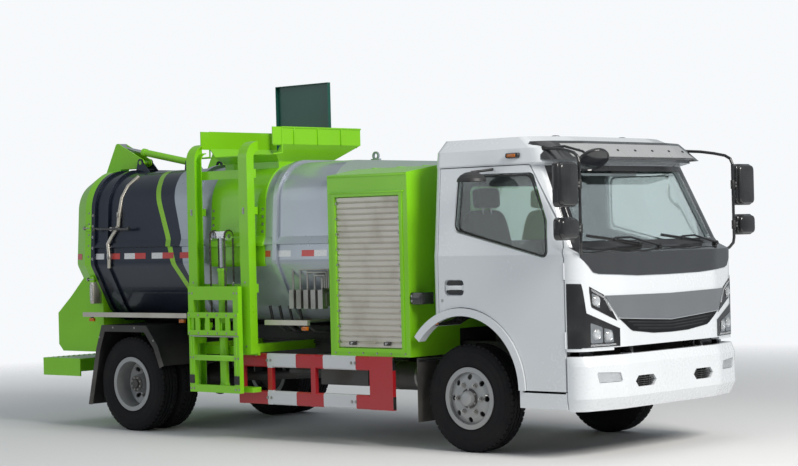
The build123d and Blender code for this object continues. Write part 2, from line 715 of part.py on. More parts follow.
def bumper_section(z, back, side, inset):
    x0 = BUMPER_REAR_X - 150
    x1 = BUMPER_FRONT_X - back - inset
    h = BUMPER_HALF - side - inset
    corner = CAB_CORNER_R - inset
    points = [(x0, -h, z), (x1 - CAB_BOW, -h, z), (x1, -0.6 * h, z), (x1, 0.6 * h, z), (x1 - CAB_BOW, h, z),
              (x0, h, z)]
    return flat(points, [0, corner, 260, 260, corner, 0])


def headlamp_region():
    return slab_x([(1100, 1258), (860, 1240), (700, 1165), (610, 1010), (590, 790), (1100, 790)], DOOR_FRONT_X + 20,
                  3200)


def grille_region(top_z, low_z, half):
    return slab_x([(-half, top_z), (-half + 40, low_z), (half - 40, low_z), (half, top_z)], 2900, 3200)


def nose_skin(proud, depth):
    """Sheet that follows the cab's nose, from proud of its skin to a depth below it."""
    z0 = 771.0
    z1 = BELT_Z - 42
    outer = extrude(cab_section(z0, CAB_FRONT_X, CAB_HALF, -proud), amount=z1 - z0, dir=(0, 0, 1))
    return outer - extrude(cab_section(z0 - 5, CAB_FRONT_X, CAB_HALF, depth), amount=z1 - z0 + 10, dir=(0, 0, 1))


def sun_visor():
    """Visor across the top of the windscreen, on the roof's brow."""
    half = 765
    shape = slab_y([(2720, 2128), (2830, 2100), (2842, 2118), (2790, 2190), (2712, 2225)], -half, half)
    return shape


def mirror_set(side):
    """Arm and two heads at a front corner of the cab."""
    y_arm = MIRROR_REACH - MIRROR_WIDTH - 45
    x = MIRROR_X
    shape = bar_z(x, y_arm, 1500, 2140, MIRROR_ARM_R)
    shape += rod((x, y_arm, 2140), (2740, 905, 2215), MIRROR_ARM_R)
    shape += rod((x, y_arm, 1500), (2925, 920, 1440), MIRROR_ARM_R)
    for low, high in ((1790, 2110), (1560, 1720)):
        head = slab_z([(x - MIRROR_DEPTH / 2, MIRROR_REACH - MIRROR_WIDTH), (x + MIRROR_DEPTH / 2 - 20,
                      MIRROR_REACH - MIRROR_WIDTH), (x + MIRROR_DEPTH / 2, MIRROR_REACH - MIRROR_WIDTH / 2),
                      (x + MIRROR_DEPTH / 2 - 20, MIRROR_REACH), (x - MIRROR_DEPTH / 2, MIRROR_REACH)], low, high)
        shape += head
        middle = (low + high) / 2
        shape += block(x - 14, x + 14, y_arm, MIRROR_REACH - MIRROR_WIDTH, middle - 22, middle + 22)
    return shape if side > 0 else mirrored(shape)


def kerb_mirror():
    """Domed mirror on the right door's window frame, looking down at the kerb."""
    x, y, z = KERB_MIRROR
    r = KERB_MIRROR_R
    profile = flat([(0, 0, 0), (r, 0, 0), (0.95 * r, 0, 22), (0.74 * r, 0, 48), (0.44 * r, 0, 66), (0, 0, 74)])
    dome = Pos(x, y, z) * revolve(profile, Axis.Z, 360)
    arm = rod((x, y, z + 68), (x + 60, -CAB_HALF + 65, z + 88), MIRROR_ARM_R)
    return dome + arm


def round_mirror():
    """Round front mirror on its stalk at the right corner of the roof."""
    centre = Vector(2960, -790, 2135)
    aim = Vector(0.55, -0.25, -0.8).normalized()
    plane = Plane(origin=centre, z_dir=aim)
    dish = plane * extrude(Circle(120), 22) + plane * Pos(0, 0, -20) * extrude(Circle(70), 22)
    return dish + rod(tuple(centre), (2540, -850, 2222), 9)


def seats():
    """Driver's and passenger seats on the platform."""
    shape = None
    for y in (-560.0, 560.0):
        z = PLATFORM_Z + SEAT_GAP
        cushion = block(1900, 2380, y - 250, y + 250, z, z + 150)
        back = slab_y([(1830, z + 100), (1970, z + 100), (1850, z + 700), (1740, z + 700)], y - 240, y + 240, 20)
        rest = slab_y([(1740, z + 720), (1840, z + 720), (1825, z + 880), (1750, z + 880)], y - 130, y + 130, 20)
        neck = block(1770, 1810, y - 60, y + 60, z + 690, z + 730)
        seat = cushion + back + rest + neck
        shape = seat if shape is None else shape + seat
    return shape


def dashboard():
    """Dashboard across the cab with the steering column and wheel."""
    half = CAB_HALF - CAB_WALL - 12
    shape = slab_y([(2860, 1150), (2860, 1300), (2640, 1440), (2560, 1400), (2600, 1180), (2700, 1150)], -half, half)
    shape += block(2850, CAB_FRONT_X - CAB_WALL - SEAT_GAP, -500, 500, 1150, 1290)
    hub = Vector(2420, 460, 1400)
    axis = Vector(-0.55, 0, 0.83).normalized()
    shape += rod(tuple(hub), tuple(hub - axis * 330), 32)
    plane = Plane(origin=hub, z_dir=axis)
    ring = plane * (extrude(Circle(215), 24) - extrude(Circle(188), 24))
    spokes = plane * extrude(Rectangle(400, 40) + Circle(55), 20)
    return shape + ring + spokes


# Locker and tank

def locker_outline(t):
    return [(-LOCKER_HALF + t, LOCKER_BOTTOM_Z + t), (-LOCKER_NOTCH_Y - t, LOCKER_BOTTOM_Z + t),
            (-LOCKER_NOTCH_Y - t, LOCKER_NOTCH_Z + t), (LOCKER_NOTCH_Y + t, LOCKER_NOTCH_Z + t),
            (LOCKER_NOTCH_Y + t, LOCKER_BOTTOM_Z + t), (LOCKER_HALF - t, LOCKER_BOTTOM_Z + t),
            (LOCKER_HALF - t, LOCKER_EAVE_Z - t), (LOCKER_RIDGE_Y, LOCKER_TOP_Z - t),
            (-LOCKER_RIDGE_Y, LOCKER_TOP_Z - t), (-LOCKER_HALF + t, LOCKER_EAVE_Z - t)]


def equipment_locker():
    t = LOCKER_WALL
    shape = slab_x(locker_outline(0), LOCKER_REAR_X, LOCKER_FRONT_X)
    shape -= slab_x(locker_outline(t), LOCKER_REAR_X + t, LOCKER_FRONT_X - t)
    shape -= block(SHUTTER_REAR_X, SHUTTER_FRONT_X, -1100, 1100, SHUTTER_BOTTOM_Z, SHUTTER_TOP_Z)
    frame = block(SHUTTER_REAR_X - 30, SHUTTER_FRONT_X + 30, LOCKER_HALF, LOCKER_HALF + 8,
                  SHUTTER_BOTTOM_Z - 30, SHUTTER_TOP_Z + 30)
    frame -= block(SHUTTER_REAR_X, SHUTTER_FRONT_X, 900, 1100, SHUTTER_BOTTOM_Z, SHUTTER_TOP_Z)
    return shape + both(frame)


def roller_shutter():
    """Slatted shutter: bulged slats as steps of its section."""
    y = LOCKER_HALF - LOCKER_WALL + 4
    points = [(y, SHUTTER_BOTTOM_Z), (y + 12, SHUTTER_BOTTOM_Z)]
    count = int((SHUTTER_TOP_Z - SHUTTER_BOTTOM_Z) / SLAT_PITCH)
    pitch = (SHUTTER_TOP_Z - SHUTTER_BOTTOM_Z) / count
    for index in range(count):
        z = SHUTTER_BOTTOM_Z + index * pitch
        points += [(y + 12 + SLAT_DEPTH, z + 0.2 * pitch), (y + 12 + SLAT_DEPTH, z + 0.8 * pitch),
                   (y + 12, z + pitch)]
    points.append((y, SHUTTER_TOP_Z))
    return slab_x(points, SHUTTER_REAR_X, SHUTTER_FRONT_X)


def tank_outline(inset):
    """(y, z) corners and radii of the tank's section at an inset."""
    i = inset
    half = [(TANK_TOP_HALF - i, TANK_TOP_Z - i), (TANK_KNUCKLE_HALF - i, TANK_KNUCKLE_Z),
            (TANK_BOTTOM_HALF - i * 0.6, TANK_BOTTOM_Z + i)]
    radii = [TANK_TOP_R - i, TANK_KNUCKLE_R, TANK_BOTTOM_R - i]
    points = half + [(-y, z) for y, z in reversed(half)]
    return points, radii + radii[::-1]


def tank_volume(inset, x0, x1):
    points, radii = tank_outline(inset)
    return slab_x(points, x0, x1, radii)


def tank_face(inset, x):
    points, radii = tank_outline(inset)
    return flat([(x, y, z) for y, z in points], radii)


def tank_shell():
    """Hollow tank, open at the back and under the hopper, with ribs, side ledges and hinge brackets."""
    x1 = LOCKER_REAR_X - SEAT_GAP
    shape = tank_volume(0, TANK_REAR_X, x1) - tank_volume(TANK_WALL, TANK_REAR_X - 1, x1 - TANK_WALL)
    for x in RIB_XS:
        shape += tank_volume(-RIB_PROUD, x, x + RIB_WIDTH) - tank_volume(TANK_WALL / 2, x - 1, x + RIB_WIDTH + 1)
    shape += both(side_ledge(TANK_REAR_X, x1))
    shape -= block(NECK_X[0] + HOPPER_WALL, NECK_X[1] - HOPPER_WALL, NECK_Y[0] + HOPPER_WALL,
                   NECK_Y[1] - HOPPER_WALL, 1900, 2400)
    for centre in (-GATE_CYLINDER_Y, GATE_CYLINDER_Y):
        for offset in (-GATE_FORK - 2 * GATE_PLATE_T - SEAT_GAP, GATE_FORK + GATE_PLATE_T + SEAT_GAP):
            y = centre + offset
            shape += bracket(GATE_PIVOT, y, y + GATE_PLATE_T, 120)
        for offset in (-GATE_FORK - GATE_PLATE_T, GATE_FORK):
            y = centre + offset
            shape += bracket(GATE_ANCHOR, y, y + GATE_PLATE_T, 90)
    return shape


def side_ledge(x0, x1):
    """Slanted bead along the tank's side."""
    side = TANK_KNUCKLE_HALF
    return slab_x([(side - 24, LEDGE_LOW_Z), (side + LEDGE_PROUD, LEDGE_LOW_Z + 12), (side - 12, LEDGE_HIGH_Z),
                   (side - 24, LEDGE_HIGH_Z)], x0, x1)


def bracket(pin, y0, y1, foot):
    """Upright plate on the tank's top with a hole for a pin."""
    x, z = pin
    low = TANK_TOP_Z - 2
    shape = slab_y([(x - foot / 2, low), (x + foot, low), (x + 34, z), (x - 34, z)], y0, y1)
    shape += bar_y(x, y0, y1, z, 34)
    return shape - bar_y(x, y0 - 1, y1 + 1, z, GATE_PIN_R + RUN_FIT)


def subframe():
    """Long members on the chassis rails and cradles under the tank."""
    shape = both(block(TANK_REAR_X, SUBFRAME_FRONT_X, RAIL_OUTER_Y - RAIL_FLANGE, RAIL_OUTER_Y, RAIL_TOP_Z,
                       SUBFRAME_TOP_Z))
    tank = tank_volume(0, TANK_REAR_X - 10, LOCKER_REAR_X)
    for x in (-2250.0, -1300.0, -450.0, 350.0):
        cradle = slab_x([(-700, 1080), (-RAIL_OUTER_Y, SUBFRAME_TOP_Z - 60), (RAIL_OUTER_Y, SUBFRAME_TOP_Z - 60),
                         (700, 1080)], x, x + CRADLE_T)
        shape += cradle - tank
    return shape


def hopper():
    """Feed hopper with its neck and the saddle band over the tank."""
    t = HOPPER_WALL
    rim = rectangle_face(HOPPER_X, HOPPER_Y, HOPPER_BAND_Z, 0)
    neck = rectangle_face(NECK_X, NECK_Y, NECK_TOP_Z, 0)
    shape = loft([neck, rim], ruled=True)
    shape += block(*HOPPER_X, *HOPPER_Y, HOPPER_BAND_Z, HOPPER_TOP_Z)
    shape += block(*NECK_X, *NECK_Y, 1980, NECK_TOP_Z)
    inner = loft([rectangle_face(NECK_X, NECK_Y, NECK_TOP_Z, t), rectangle_face(HOPPER_X, HOPPER_Y, HOPPER_BAND_Z, t)],
                 ruled=True)
    inner += block(HOPPER_X[0] + t, HOPPER_X[1] - t, HOPPER_Y[0] + t, HOPPER_Y[1] - t, HOPPER_BAND_Z, HOPPER_TOP_Z + 1)
    inner += block(NECK_X[0] + t, NECK_X[1] - t, NECK_Y[0] + t, NECK_Y[1] - t, 1900, NECK_TOP_Z)
    shape -= inner
    shape -= block(HOPPER_X[0] + t, HOPPER_X[1] - t, HOPPER_Y[0] - 10, -900, HOPPER_SILL_Z, HOPPER_TOP_Z + 1)
    band = tank_volume(-SADDLE_T, *NECK_X) & block(*NECK_X, -1200, 420, SADDLE_LOW_Z, 2400)
    band -= block(NECK_X[0] + t, NECK_X[1] - t, NECK_Y[0] + t, NECK_Y[1] - t, 1900, 2400)
    side = TANK_KNUCKLE_HALF
    cover = [(side - 24, LEDGE_LOW_Z - SADDLE_T), (side + LEDGE_PROUD + SADDLE_T, LEDGE_LOW_Z),
             (side + LEDGE_PROUD + SADDLE_T, LEDGE_LOW_Z + 24), (side, LEDGE_HIGH_Z + SADDLE_T),
             (side - 24, LEDGE_HIGH_Z + SADDLE_T)]
    shape += band + mirrored(slab_x(cover, *NECK_X))
    shape -= tank_volume(0, NECK_X[0] - 10, NECK_X[1] + 10)
    shape -= mirrored(side_ledge(NECK_X[0] - 10, NECK_X[1] + 10))
    for x0, x1 in lid_lugs():
        lug = slab_x([(LID_HINGE_Y - LID_EYE_R, LID_HINGE_Z), (LID_HINGE_Y - LID_EYE_R, NECK_TOP_Z - 12),
                      (LID_HINGE_Y + 30, NECK_TOP_Z + 8), (LID_HINGE_Y + LID_EYE_R, LID_HINGE_Z)], x0, x1)
        shape += lug + bar_x(x0, x1, LID_HINGE_Y, LID_HINGE_Z, LID_EYE_R)
    for start, end in lid_pins():
        shape += bar_x(start, end, LID_HINGE_Y, LID_HINGE_Z, LID_PIN_R)
    return shape


def rectangle_face(x_range, y_range, z, inset):
    x0, x1 = x_range[0] + inset, x_range[1] - inset
    y0, y1 = y_range[0] + inset, y_range[1] - inset
    return flat([(x0, y0, z), (x1, y0, z), (x1, y1, z), (x0, y1, z)])


def lid_lugs():
    return ((NECK_X[0] + 14, NECK_X[0] + 22), (NECK_X[1] - 22, NECK_X[1] - 14))


def lid_pins():
    return ((NECK_X[0] + 18, NECK_X[0] + 60), (NECK_X[1] - 60, NECK_X[1] - 18))


def hopper_lid():
    """Pan-shaped lid, standing open on its hinge tube."""
    x0 = NECK_X[0] + LID_CLEAR
    x1 = NECK_X[1] - LID_CLEAR
    tube0 = NECK_X[0] + 22 + SEAT_GAP
    tube1 = NECK_X[1] - 22 - SEAT_GAP
    y = LID_HINGE_Y
    z0 = LID_HINGE_Z + LID_EYE_R + 10
    shape = block(x0, x1, y - LID_T / 2, y + LID_T / 2, z0, LID_TOP_Z)
    rim = block(x0, x1, y - LID_T / 2 - LID_RIM, y, z0, LID_TOP_Z)
    rim -= block(x0 + LID_T, x1 - LID_T, y - 60, y + 1, z0 + LID_T, LID_TOP_Z - LID_T)
    shape += rim
    shape += bar_x(tube0, tube1, y, LID_HINGE_Z, LID_TUBE_R)
    shape += block(tube0 + 40, tube1 - 40, y - LID_T / 2, y + LID_T / 2, LID_HINGE_Z, z0 + 1)
    for start, end in lid_pins():
        shape -= bar_x(start - 1, end + 1, y, LID_HINGE_Z, LID_PIN_R + RUN_FIT)
    return shape


# Bin lift

def hook_outline(y0, y1, foot, inset):
    """Rail seen along X: upright that bends over at the top towards the hopper."""
    outer_r = LIFT_TOP_Z - (LIFT_TOP_Z - (y1 - y0) - 55)
    centre_y = y0 + outer_r
    centre_z = LIFT_TOP_Z - outer_r
    big = outer_r - inset
    small = outer_r - (y1 - y0) + inset
    points_out = []
    points_in = []
    for index in range(7):
        turn = radians(180 - 15 * index)
        points_out.append((centre_y + big * cos(turn), centre_z + big * sin(turn)))
        points_in.append((centre_y + small * cos(turn), centre_z + small * sin(turn)))
    return [(y0 + inset, foot)] + points_out + points_in[::-1] + [(y1 - inset, foot)]


def lift_frame():
    """Two channel rails with hooked tops, straps, the cylinder's barrel and outriggers."""
    y0, y1 = LIFT_RAIL_Y
    shape = None
    for (x0, x1), foot, inward in zip(LIFT_RAIL_X, LIFT_FEET_Z, (1, -1)):
        rail = slab_x(hook_outline(y0, y1, foot, 0), x0, x1)
        if inward > 0:
            rail -= slab_x(hook_outline(y0, y1, foot - 1, RAIL_WALL), x1 - CHANNEL_DEPTH, x1 + 1)
        else:
            rail -= slab_x(hook_outline(y0, y1, foot - 1, RAIL_WALL), x0 - 1, x0 + CHANNEL_DEPTH)
        shape = rail if shape is None else shape + rail
        middle = (x0 + x1) / 2
        shape += block(middle - 35, middle + 35, y1, -TANK_KNUCKLE_HALF - 2, 1820, 1880)
        shape += block(middle - 30, middle + 30, y1, -RAIL_OUTER_Y - SEAT_GAP, OUTRIGGER_Z, OUTRIGGER_Z + OUTRIGGER_H)
    rear, front = LIFT_RAIL_X[0][0], LIFT_RAIL_X[1][1]
    for z in (720.0, CHAIN_ANCHOR_Z, 2150.0):
        shape += block(rear, front, y1, y1 + 22, z - 35, z + 35)
    x = lift_centre_x()
    y = lift_centre_y()
    low, high = LIFT_BARREL_Z
    shape += block(rear, front, y0 + 6, y1 + 22, low - 40, low)
    barrel = bar_z(x, y, low, high, LIFT_BARREL_R)
    barrel -= bar_z(x, y, low + 30, high + 1, LIFT_ROD_R + RUN_FIT)
    shape += barrel
    shape += block(x - 20, x + 20, y + LIFT_BARREL_R - 4, y1 + 2, CHAIN_ANCHOR_Z - 30, CHAIN_ANCHOR_Z + 30)
    return shape


def lift_centre_x():
    return (LIFT_RAIL_X[0][1] + LIFT_RAIL_X[1][0]) / 2


def lift_centre_y():
    return (LIFT_RAIL_Y[0] + LIFT_RAIL_Y[1]) / 2


def lift_crosshead():
    """Cylinder rod with its crosshead and two chain sprockets."""
    x = lift_centre_x()
    y = lift_centre_y()
    shape = bar_z(x, y, LIFT_BARREL_Z[0] + 60, CROSSHEAD_Z, LIFT_ROD_R)
    shape += block(x - CHAIN_OFFSET_X + 12, x + CHAIN_OFFSET_X - 12, y - 16, y + 16, CROSSHEAD_Z - 16, CROSSHEAD_Z + 40)
    for side in (-1, 1):
        centre = x + side * CHAIN_OFFSET_X
        shape += bar_x(centre - SPROCKET_T / 2, centre + SPROCKET_T / 2, y, CROSSHEAD_Z, SPROCKET_R)
        shape += bar_x(min(x, centre), max(x, centre), y, CROSSHEAD_Z, 12)
    return shape


def lift_chains():
    """Two chains: each from its anchor over the sprocket and down to the carriage."""
    x = lift_centre_x()
    y = lift_centre_y()
    shape = None
    r0 = SPROCKET_R + SEAT_GAP
    r1 = r0 + CHAIN_T
    for side in (-1, 1):
        centre = x + side * CHAIN_OFFSET_X
        a, b = centre - CHAIN_T / 2, centre + CHAIN_T / 2
        arch = bar_x(a, b, y, CROSSHEAD_Z, r1) - bar_x(a - 1, b + 1, y, CROSSHEAD_Z, r0)
        arch &= block(a, b, y - 100, y + 100, CROSSHEAD_Z, CROSSHEAD_Z + 100)
        front = block(a, b, y - r1, y - r0, CARRIAGE_CHAIN_Z + SEAT_GAP, CROSSHEAD_Z)
        back_low = CHAIN_ANCHOR_Z + 35 + SEAT_GAP
        back = block(a, b, y + r0, y + r1, back_low, CROSSHEAD_Z)
        chain = arch + front + back
        shape = chain if shape is None else shape + chain
    return shape


def lift_carriage():
    """Carriage: frame with a slotted clamp plate, rollers in the rails and chain lugs."""
    x0, x1 = CARRIAGE_X
    y0, y1 = CARRIAGE_Y
    z0, z1 = CARRIAGE_Z
    post = 62.0
    shape = None
    for a, b in ((x0, x0 + post), (x1 - post, x1)):
        upright = block(a, b, y0 + 12, y1, z0, z1)
        shape = upright if shape is None else shape + upright
    for low, high in ((z0, z0 + 60), (z1 - 110, z1)):
        shape += block(x0, x1, y0 + 12, y1, low, high)
    plate = block(x0, x1, y0, y0 + 12, 850, 1035)
    plate += block(x0, x1, y0 + 12, y1, 850, 870)
    step = (x1 - x0) / 5
    for index in range(5):
        a = x0 + step * (index + 0.2)
        plate -= block(a, a + step * 0.6, y0 - 1, y0 + 13, 890, 990)
    shape += plate
    y = lift_centre_y()
    channel_x = ((LIFT_RAIL_X[0][1], -1), (LIFT_RAIL_X[1][0], 1))
    for face_x, out in channel_x:
        arm_in = face_x - out * 22
        tip = face_x + out * (CHANNEL_DEPTH - 8)
        for z in (CARRIAGE_Z[0] + 420, CARRIAGE_Z[1] - 60):
            shape += bar_x(min(arm_in, tip), max(arm_in, tip), y, z, ROLLER_R)
            shape += block(min(arm_in, face_x - out * 6), max(arm_in, face_x - out * 6), y - 20, y1, z - 30, z + 30)
    x = lift_centre_x()
    r = SPROCKET_R + SEAT_GAP
    for side in (-1, 1):
        centre = x + side * CHAIN_OFFSET_X
        shape += block(centre - 18, centre + 18, y - r - CHAIN_T - 4, y1, CARRIAGE_CHAIN_Z - 40, CARRIAGE_CHAIN_Z)
        shape += block(centre - 18, centre + 18, y0 + 12, y1, 850, CARRIAGE_CHAIN_Z)
    return shape


# Tailgate

def tailgate():
    """Domed hollow tailgate with a sump, hinge plates and lever plates."""
    rows = ((TANK_REAR_X - SEAT_GAP, -RIB_PROUD), (-2400.0, -RIB_PROUD), (-2600.0, 60.0), (GATE_DOME_X, 190.0))
    shape = None
    cavity = None
    for (xa, ia), (xb, ib) in zip(rows, rows[1:]):
        piece = loft([tank_face(ia, xa), tank_face(ib, xb)], ruled=True)
        shape = piece if shape is None else shape + piece
    t = GATE_WALL
    hollow = ((rows[0][0] + 1, TANK_WALL), (-2400.0, TANK_WALL), (-2600.0 + t, 60.0 + t), (GATE_DOME_X + t, 190.0 + t))
    for (xa, ia), (xb, ib) in zip(hollow, hollow[1:]):
        piece = loft([tank_face(ia, xa), tank_face(ib, xb)], ruled=True)
        cavity = piece if cavity is None else cavity + piece
    rear = SUMP_REAR_X
    low = SUMP_BOTTOM_Z
    front = TANK_REAR_X - SEAT_GAP - 2
    sump = slab_y([(front, low), (front, 1200), (-2560, 1330), (-2760, 1150), (rear, 1000), (rear, low + 60),
                   (rear + 60, low)], -SUMP_HALF, SUMP_HALF)
    inside = slab_y([(front - t, low + t), (front - t, 1100), (-2560, 1250), (-2750, 1130), (rear + t, 990),
                     (rear + t, low + 66), (rear + 66, low + t)], -SUMP_HALF + t, SUMP_HALF - t)
    shape += sump
    shape -= cavity + inside
    for centre in (-GATE_CYLINDER_Y, GATE_CYLINDER_Y):
        for offset in (-GATE_FORK - GATE_PLATE_T, GATE_FORK):
            y = centre + offset
            shape += gate_plate(y, y + GATE_PLATE_T)
        pin_half = GATE_FORK + 2 * GATE_PLATE_T + SEAT_GAP
        shape += bar_y(GATE_PIVOT[0], centre - pin_half, centre + pin_half, GATE_PIVOT[1], GATE_PIN_R)
    return shape


def gate_plate(y0, y1):
    """Hinge and lever plate in X-Z: pivot eye, lever eye and a foot on the tailgate."""
    px, pz = GATE_PIVOT
    lx, lz = GATE_LEVER
    foot_z = TANK_TOP_Z + RIB_PROUD
    shape = slab_y([(px, pz - 34), (px + 20, pz + 28), (lx + 24, lz + 24), (lx - 26, lz + 22), (-2560, foot_z - 60),
                    (-2345, foot_z - 8), (-2335, foot_z + 14), (px - 60, foot_z + 14)], y0, y1)
    shape += bar_y(px, y0, y1, pz, 34)
    shape += bar_y(lx, y0, y1, lz, 34)
    return shape


def gate_axis():
    """Unit vector and length from the cylinder's anchor to the lever pin."""
    dx = GATE_LEVER[0] - GATE_ANCHOR[0]
    dz = GATE_LEVER[1] - GATE_ANCHOR[1]
    length = hypot(dx, dz)
    return dx / length, dz / length, length


def along(distance, y):
    ux, uz, _ = gate_axis()
    return (GATE_ANCHOR[0] + ux * distance, y, GATE_ANCHOR[1] + uz * distance)


def gate_barrels():
    """Barrels of the two tailgate cylinders, each on a pin in its bracket."""
    shape = None
    for y in (-GATE_CYLINDER_Y, GATE_CYLINDER_Y):
        barrel = rod(along(5, y), along(GATE_BARREL_LENGTH, y), GATE_BARREL_R)
        barrel += rod(along(GATE_BARREL_LENGTH - 40, y), along(GATE_BARREL_LENGTH, y), GATE_BARREL_R + 5)
        eye_half = GATE_FORK - SEAT_GAP
        barrel += bar_y(GATE_ANCHOR[0], y - eye_half, y + eye_half, GATE_ANCHOR[1], GATE_BARREL_R)
        pin_half = GATE_FORK + GATE_PLATE_T
        barrel += bar_y(GATE_ANCHOR[0], y - pin_half, y + pin_half, GATE_ANCHOR[1], GATE_PIN_R)
        barrel -= rod(along(80, y), along(GATE_BARREL_LENGTH + 1, y), GATE_ROD_R + RUN_FIT)
        shape = barrel if shape is None else shape + barrel
    return shape


def gate_rods():
    """Rods of the tailgate cylinders with their eyes between the lever plates."""
    length = gate_axis()[2]
    shape = None
    for y in (-GATE_CYLINDER_Y, GATE_CYLINDER_Y):
        piece = rod(along(330, y), along(length, y), GATE_ROD_R)
        piece += bar_y(GATE_LEVER[0], y - GATE_FORK + SEAT_GAP, y + GATE_FORK - SEAT_GAP, GATE_LEVER[1], GATE_EYE_R)
        shape = piece if shape is None else shape + piece
    return shape


# Guards, rails and the rear end

def side_guard(side):
    """Two side rails, end plates and posts on arms from the chassis."""
    y0 = GUARD_Y - GUARD_T
    shape = None
    for low, high in GUARD_RAILS_Z:
        rail = slab_x([(y0, low), (GUARD_Y - 10, low), (GUARD_Y, low + 10), (GUARD_Y, high - 10),
                       (GUARD_Y - 10, high), (y0, high)], GUARD_REAR_X, GUARD_FRONT_X)
        shape = rail if shape is None else shape + rail
    low, high = GUARD_RAILS_Z[0][0], GUARD_RAILS_Z[1][1]
    for x0, x1 in ((GUARD_REAR_X, GUARD_REAR_X + 62), (-155.0, -105.0), (330.0, 380.0),
                   (GUARD_FRONT_X - 240, GUARD_FRONT_X)):
        shape += block(x0, x1, y0, GUARD_Y, low, high)
    for x in GUARD_ARM_XS:
        shape += block(x - 20, x + 20, RAIL_OUTER_Y + SEAT_GAP, y0 + 5, 610, 660)
    return shape if side > 0 else mirrored(shape)


def mudguards():
    """Faceted guards over the rear wheels and flaps behind the front wheels."""
    t = MUDGUARD_T
    outer = [(-2370, 210), (-2250, 700), (-2170, 905), (-1590, 905), (-1450, 740), (-1376, 570)]
    inner = [(-1376 - 9, 570), (-1457, 733), (-1594, 905 - t), (-2165, 905 - t), (-2242, 697), (-2370 + t, 210)]
    guard = slab_y(outer + inner, *MUDGUARD_Y)
    guard += block(-2100, -1650, RAIL_OUTER_Y - 50, MUDGUARD_Y[0] + 2, SUBFRAME_TOP_Z + SEAT_GAP, 905)
    return both(guard)


def rear_step():
    """Rear bumper with its step and two brackets from the chassis rails."""
    shape = block(STEP_REAR_X, STEP_FRONT_X, -STEP_HALF, STEP_HALF, STEP_BOTTOM_Z, STEP_TOP_Z)
    t = 12
    shape -= block(STEP_REAR_X + t, STEP_FRONT_X + 1, -STEP_HALF + t, STEP_HALF - t, STEP_BOTTOM_Z - 1, STEP_TOP_Z - t)
    end = RAIL_REAR_X - SEAT_GAP
    arm = slab_y([(end, RAIL_BOTTOM_Z), (end, SUMP_BOTTOM_Z - 12), (end - 60, SUMP_BOTTOM_Z - 12),
                  (STEP_FRONT_X - 40, STEP_TOP_Z - t), (STEP_FRONT_X - 40, STEP_BOTTOM_Z + 20),
                  (end - 110, STEP_BOTTOM_Z + 20)], RAIL_OUTER_Y - RAIL_FLANGE, RAIL_OUTER_Y)
    return shape + both(arm)


def rear_lamps():
    """Lamp clusters on the rear face of the step."""
    lamp = block(STEP_REAR_X + 12 + SEAT_GAP, STEP_REAR_X + 60, 640, 920, STEP_BOTTOM_Z + 25, STEP_TOP_Z - 25)
    return both(lamp)


def marker_rails():
    """Aluminium marker rails under the tank's sides."""
    rear = block(-2430, -1080, MARKER_Y - 30, MARKER_Y, 975, 1015)
    middle = block(-150, 330, MARKER_Y - 30, MARKER_Y, 930, 970)
    tie = block(-2240, -2210, 650, MARKER_Y - 25, 985, 1005) + block(-1200, -1170, 650, MARKER_Y - 25, 985, 1005)
    tie += block(0, 30, 640, MARKER_Y - 25, 955, 969) + block(250, 280, 640, MARKER_Y - 25, 955, 969)
    return both(rear + middle + tie - tank_volume(-SEAT_GAP, TANK_REAR_X, LOCKER_REAR_X))


def valve_block():
    """Hydraulic valve bank on the right of the tank's front end, with its pipes."""
    y = -1000.0
    shape = block(60, 470, y + 40, y + 150, 1080, 1180)
    for index in range(5):
        x = 90 + index * 80
        shape += block(x, x + 50, y, y + 60, 1060, 1210)
        shape += bar_z(x + 25, y + 25, 1205, 1290, 9)
    return shape - tank_volume(0, TANK_REAR_X, LOCKER_REAR_X)


def save(shape, name):
    """Write one node's solids to its STEP file."""
    export_step(shape, f"parts/{name}.step")


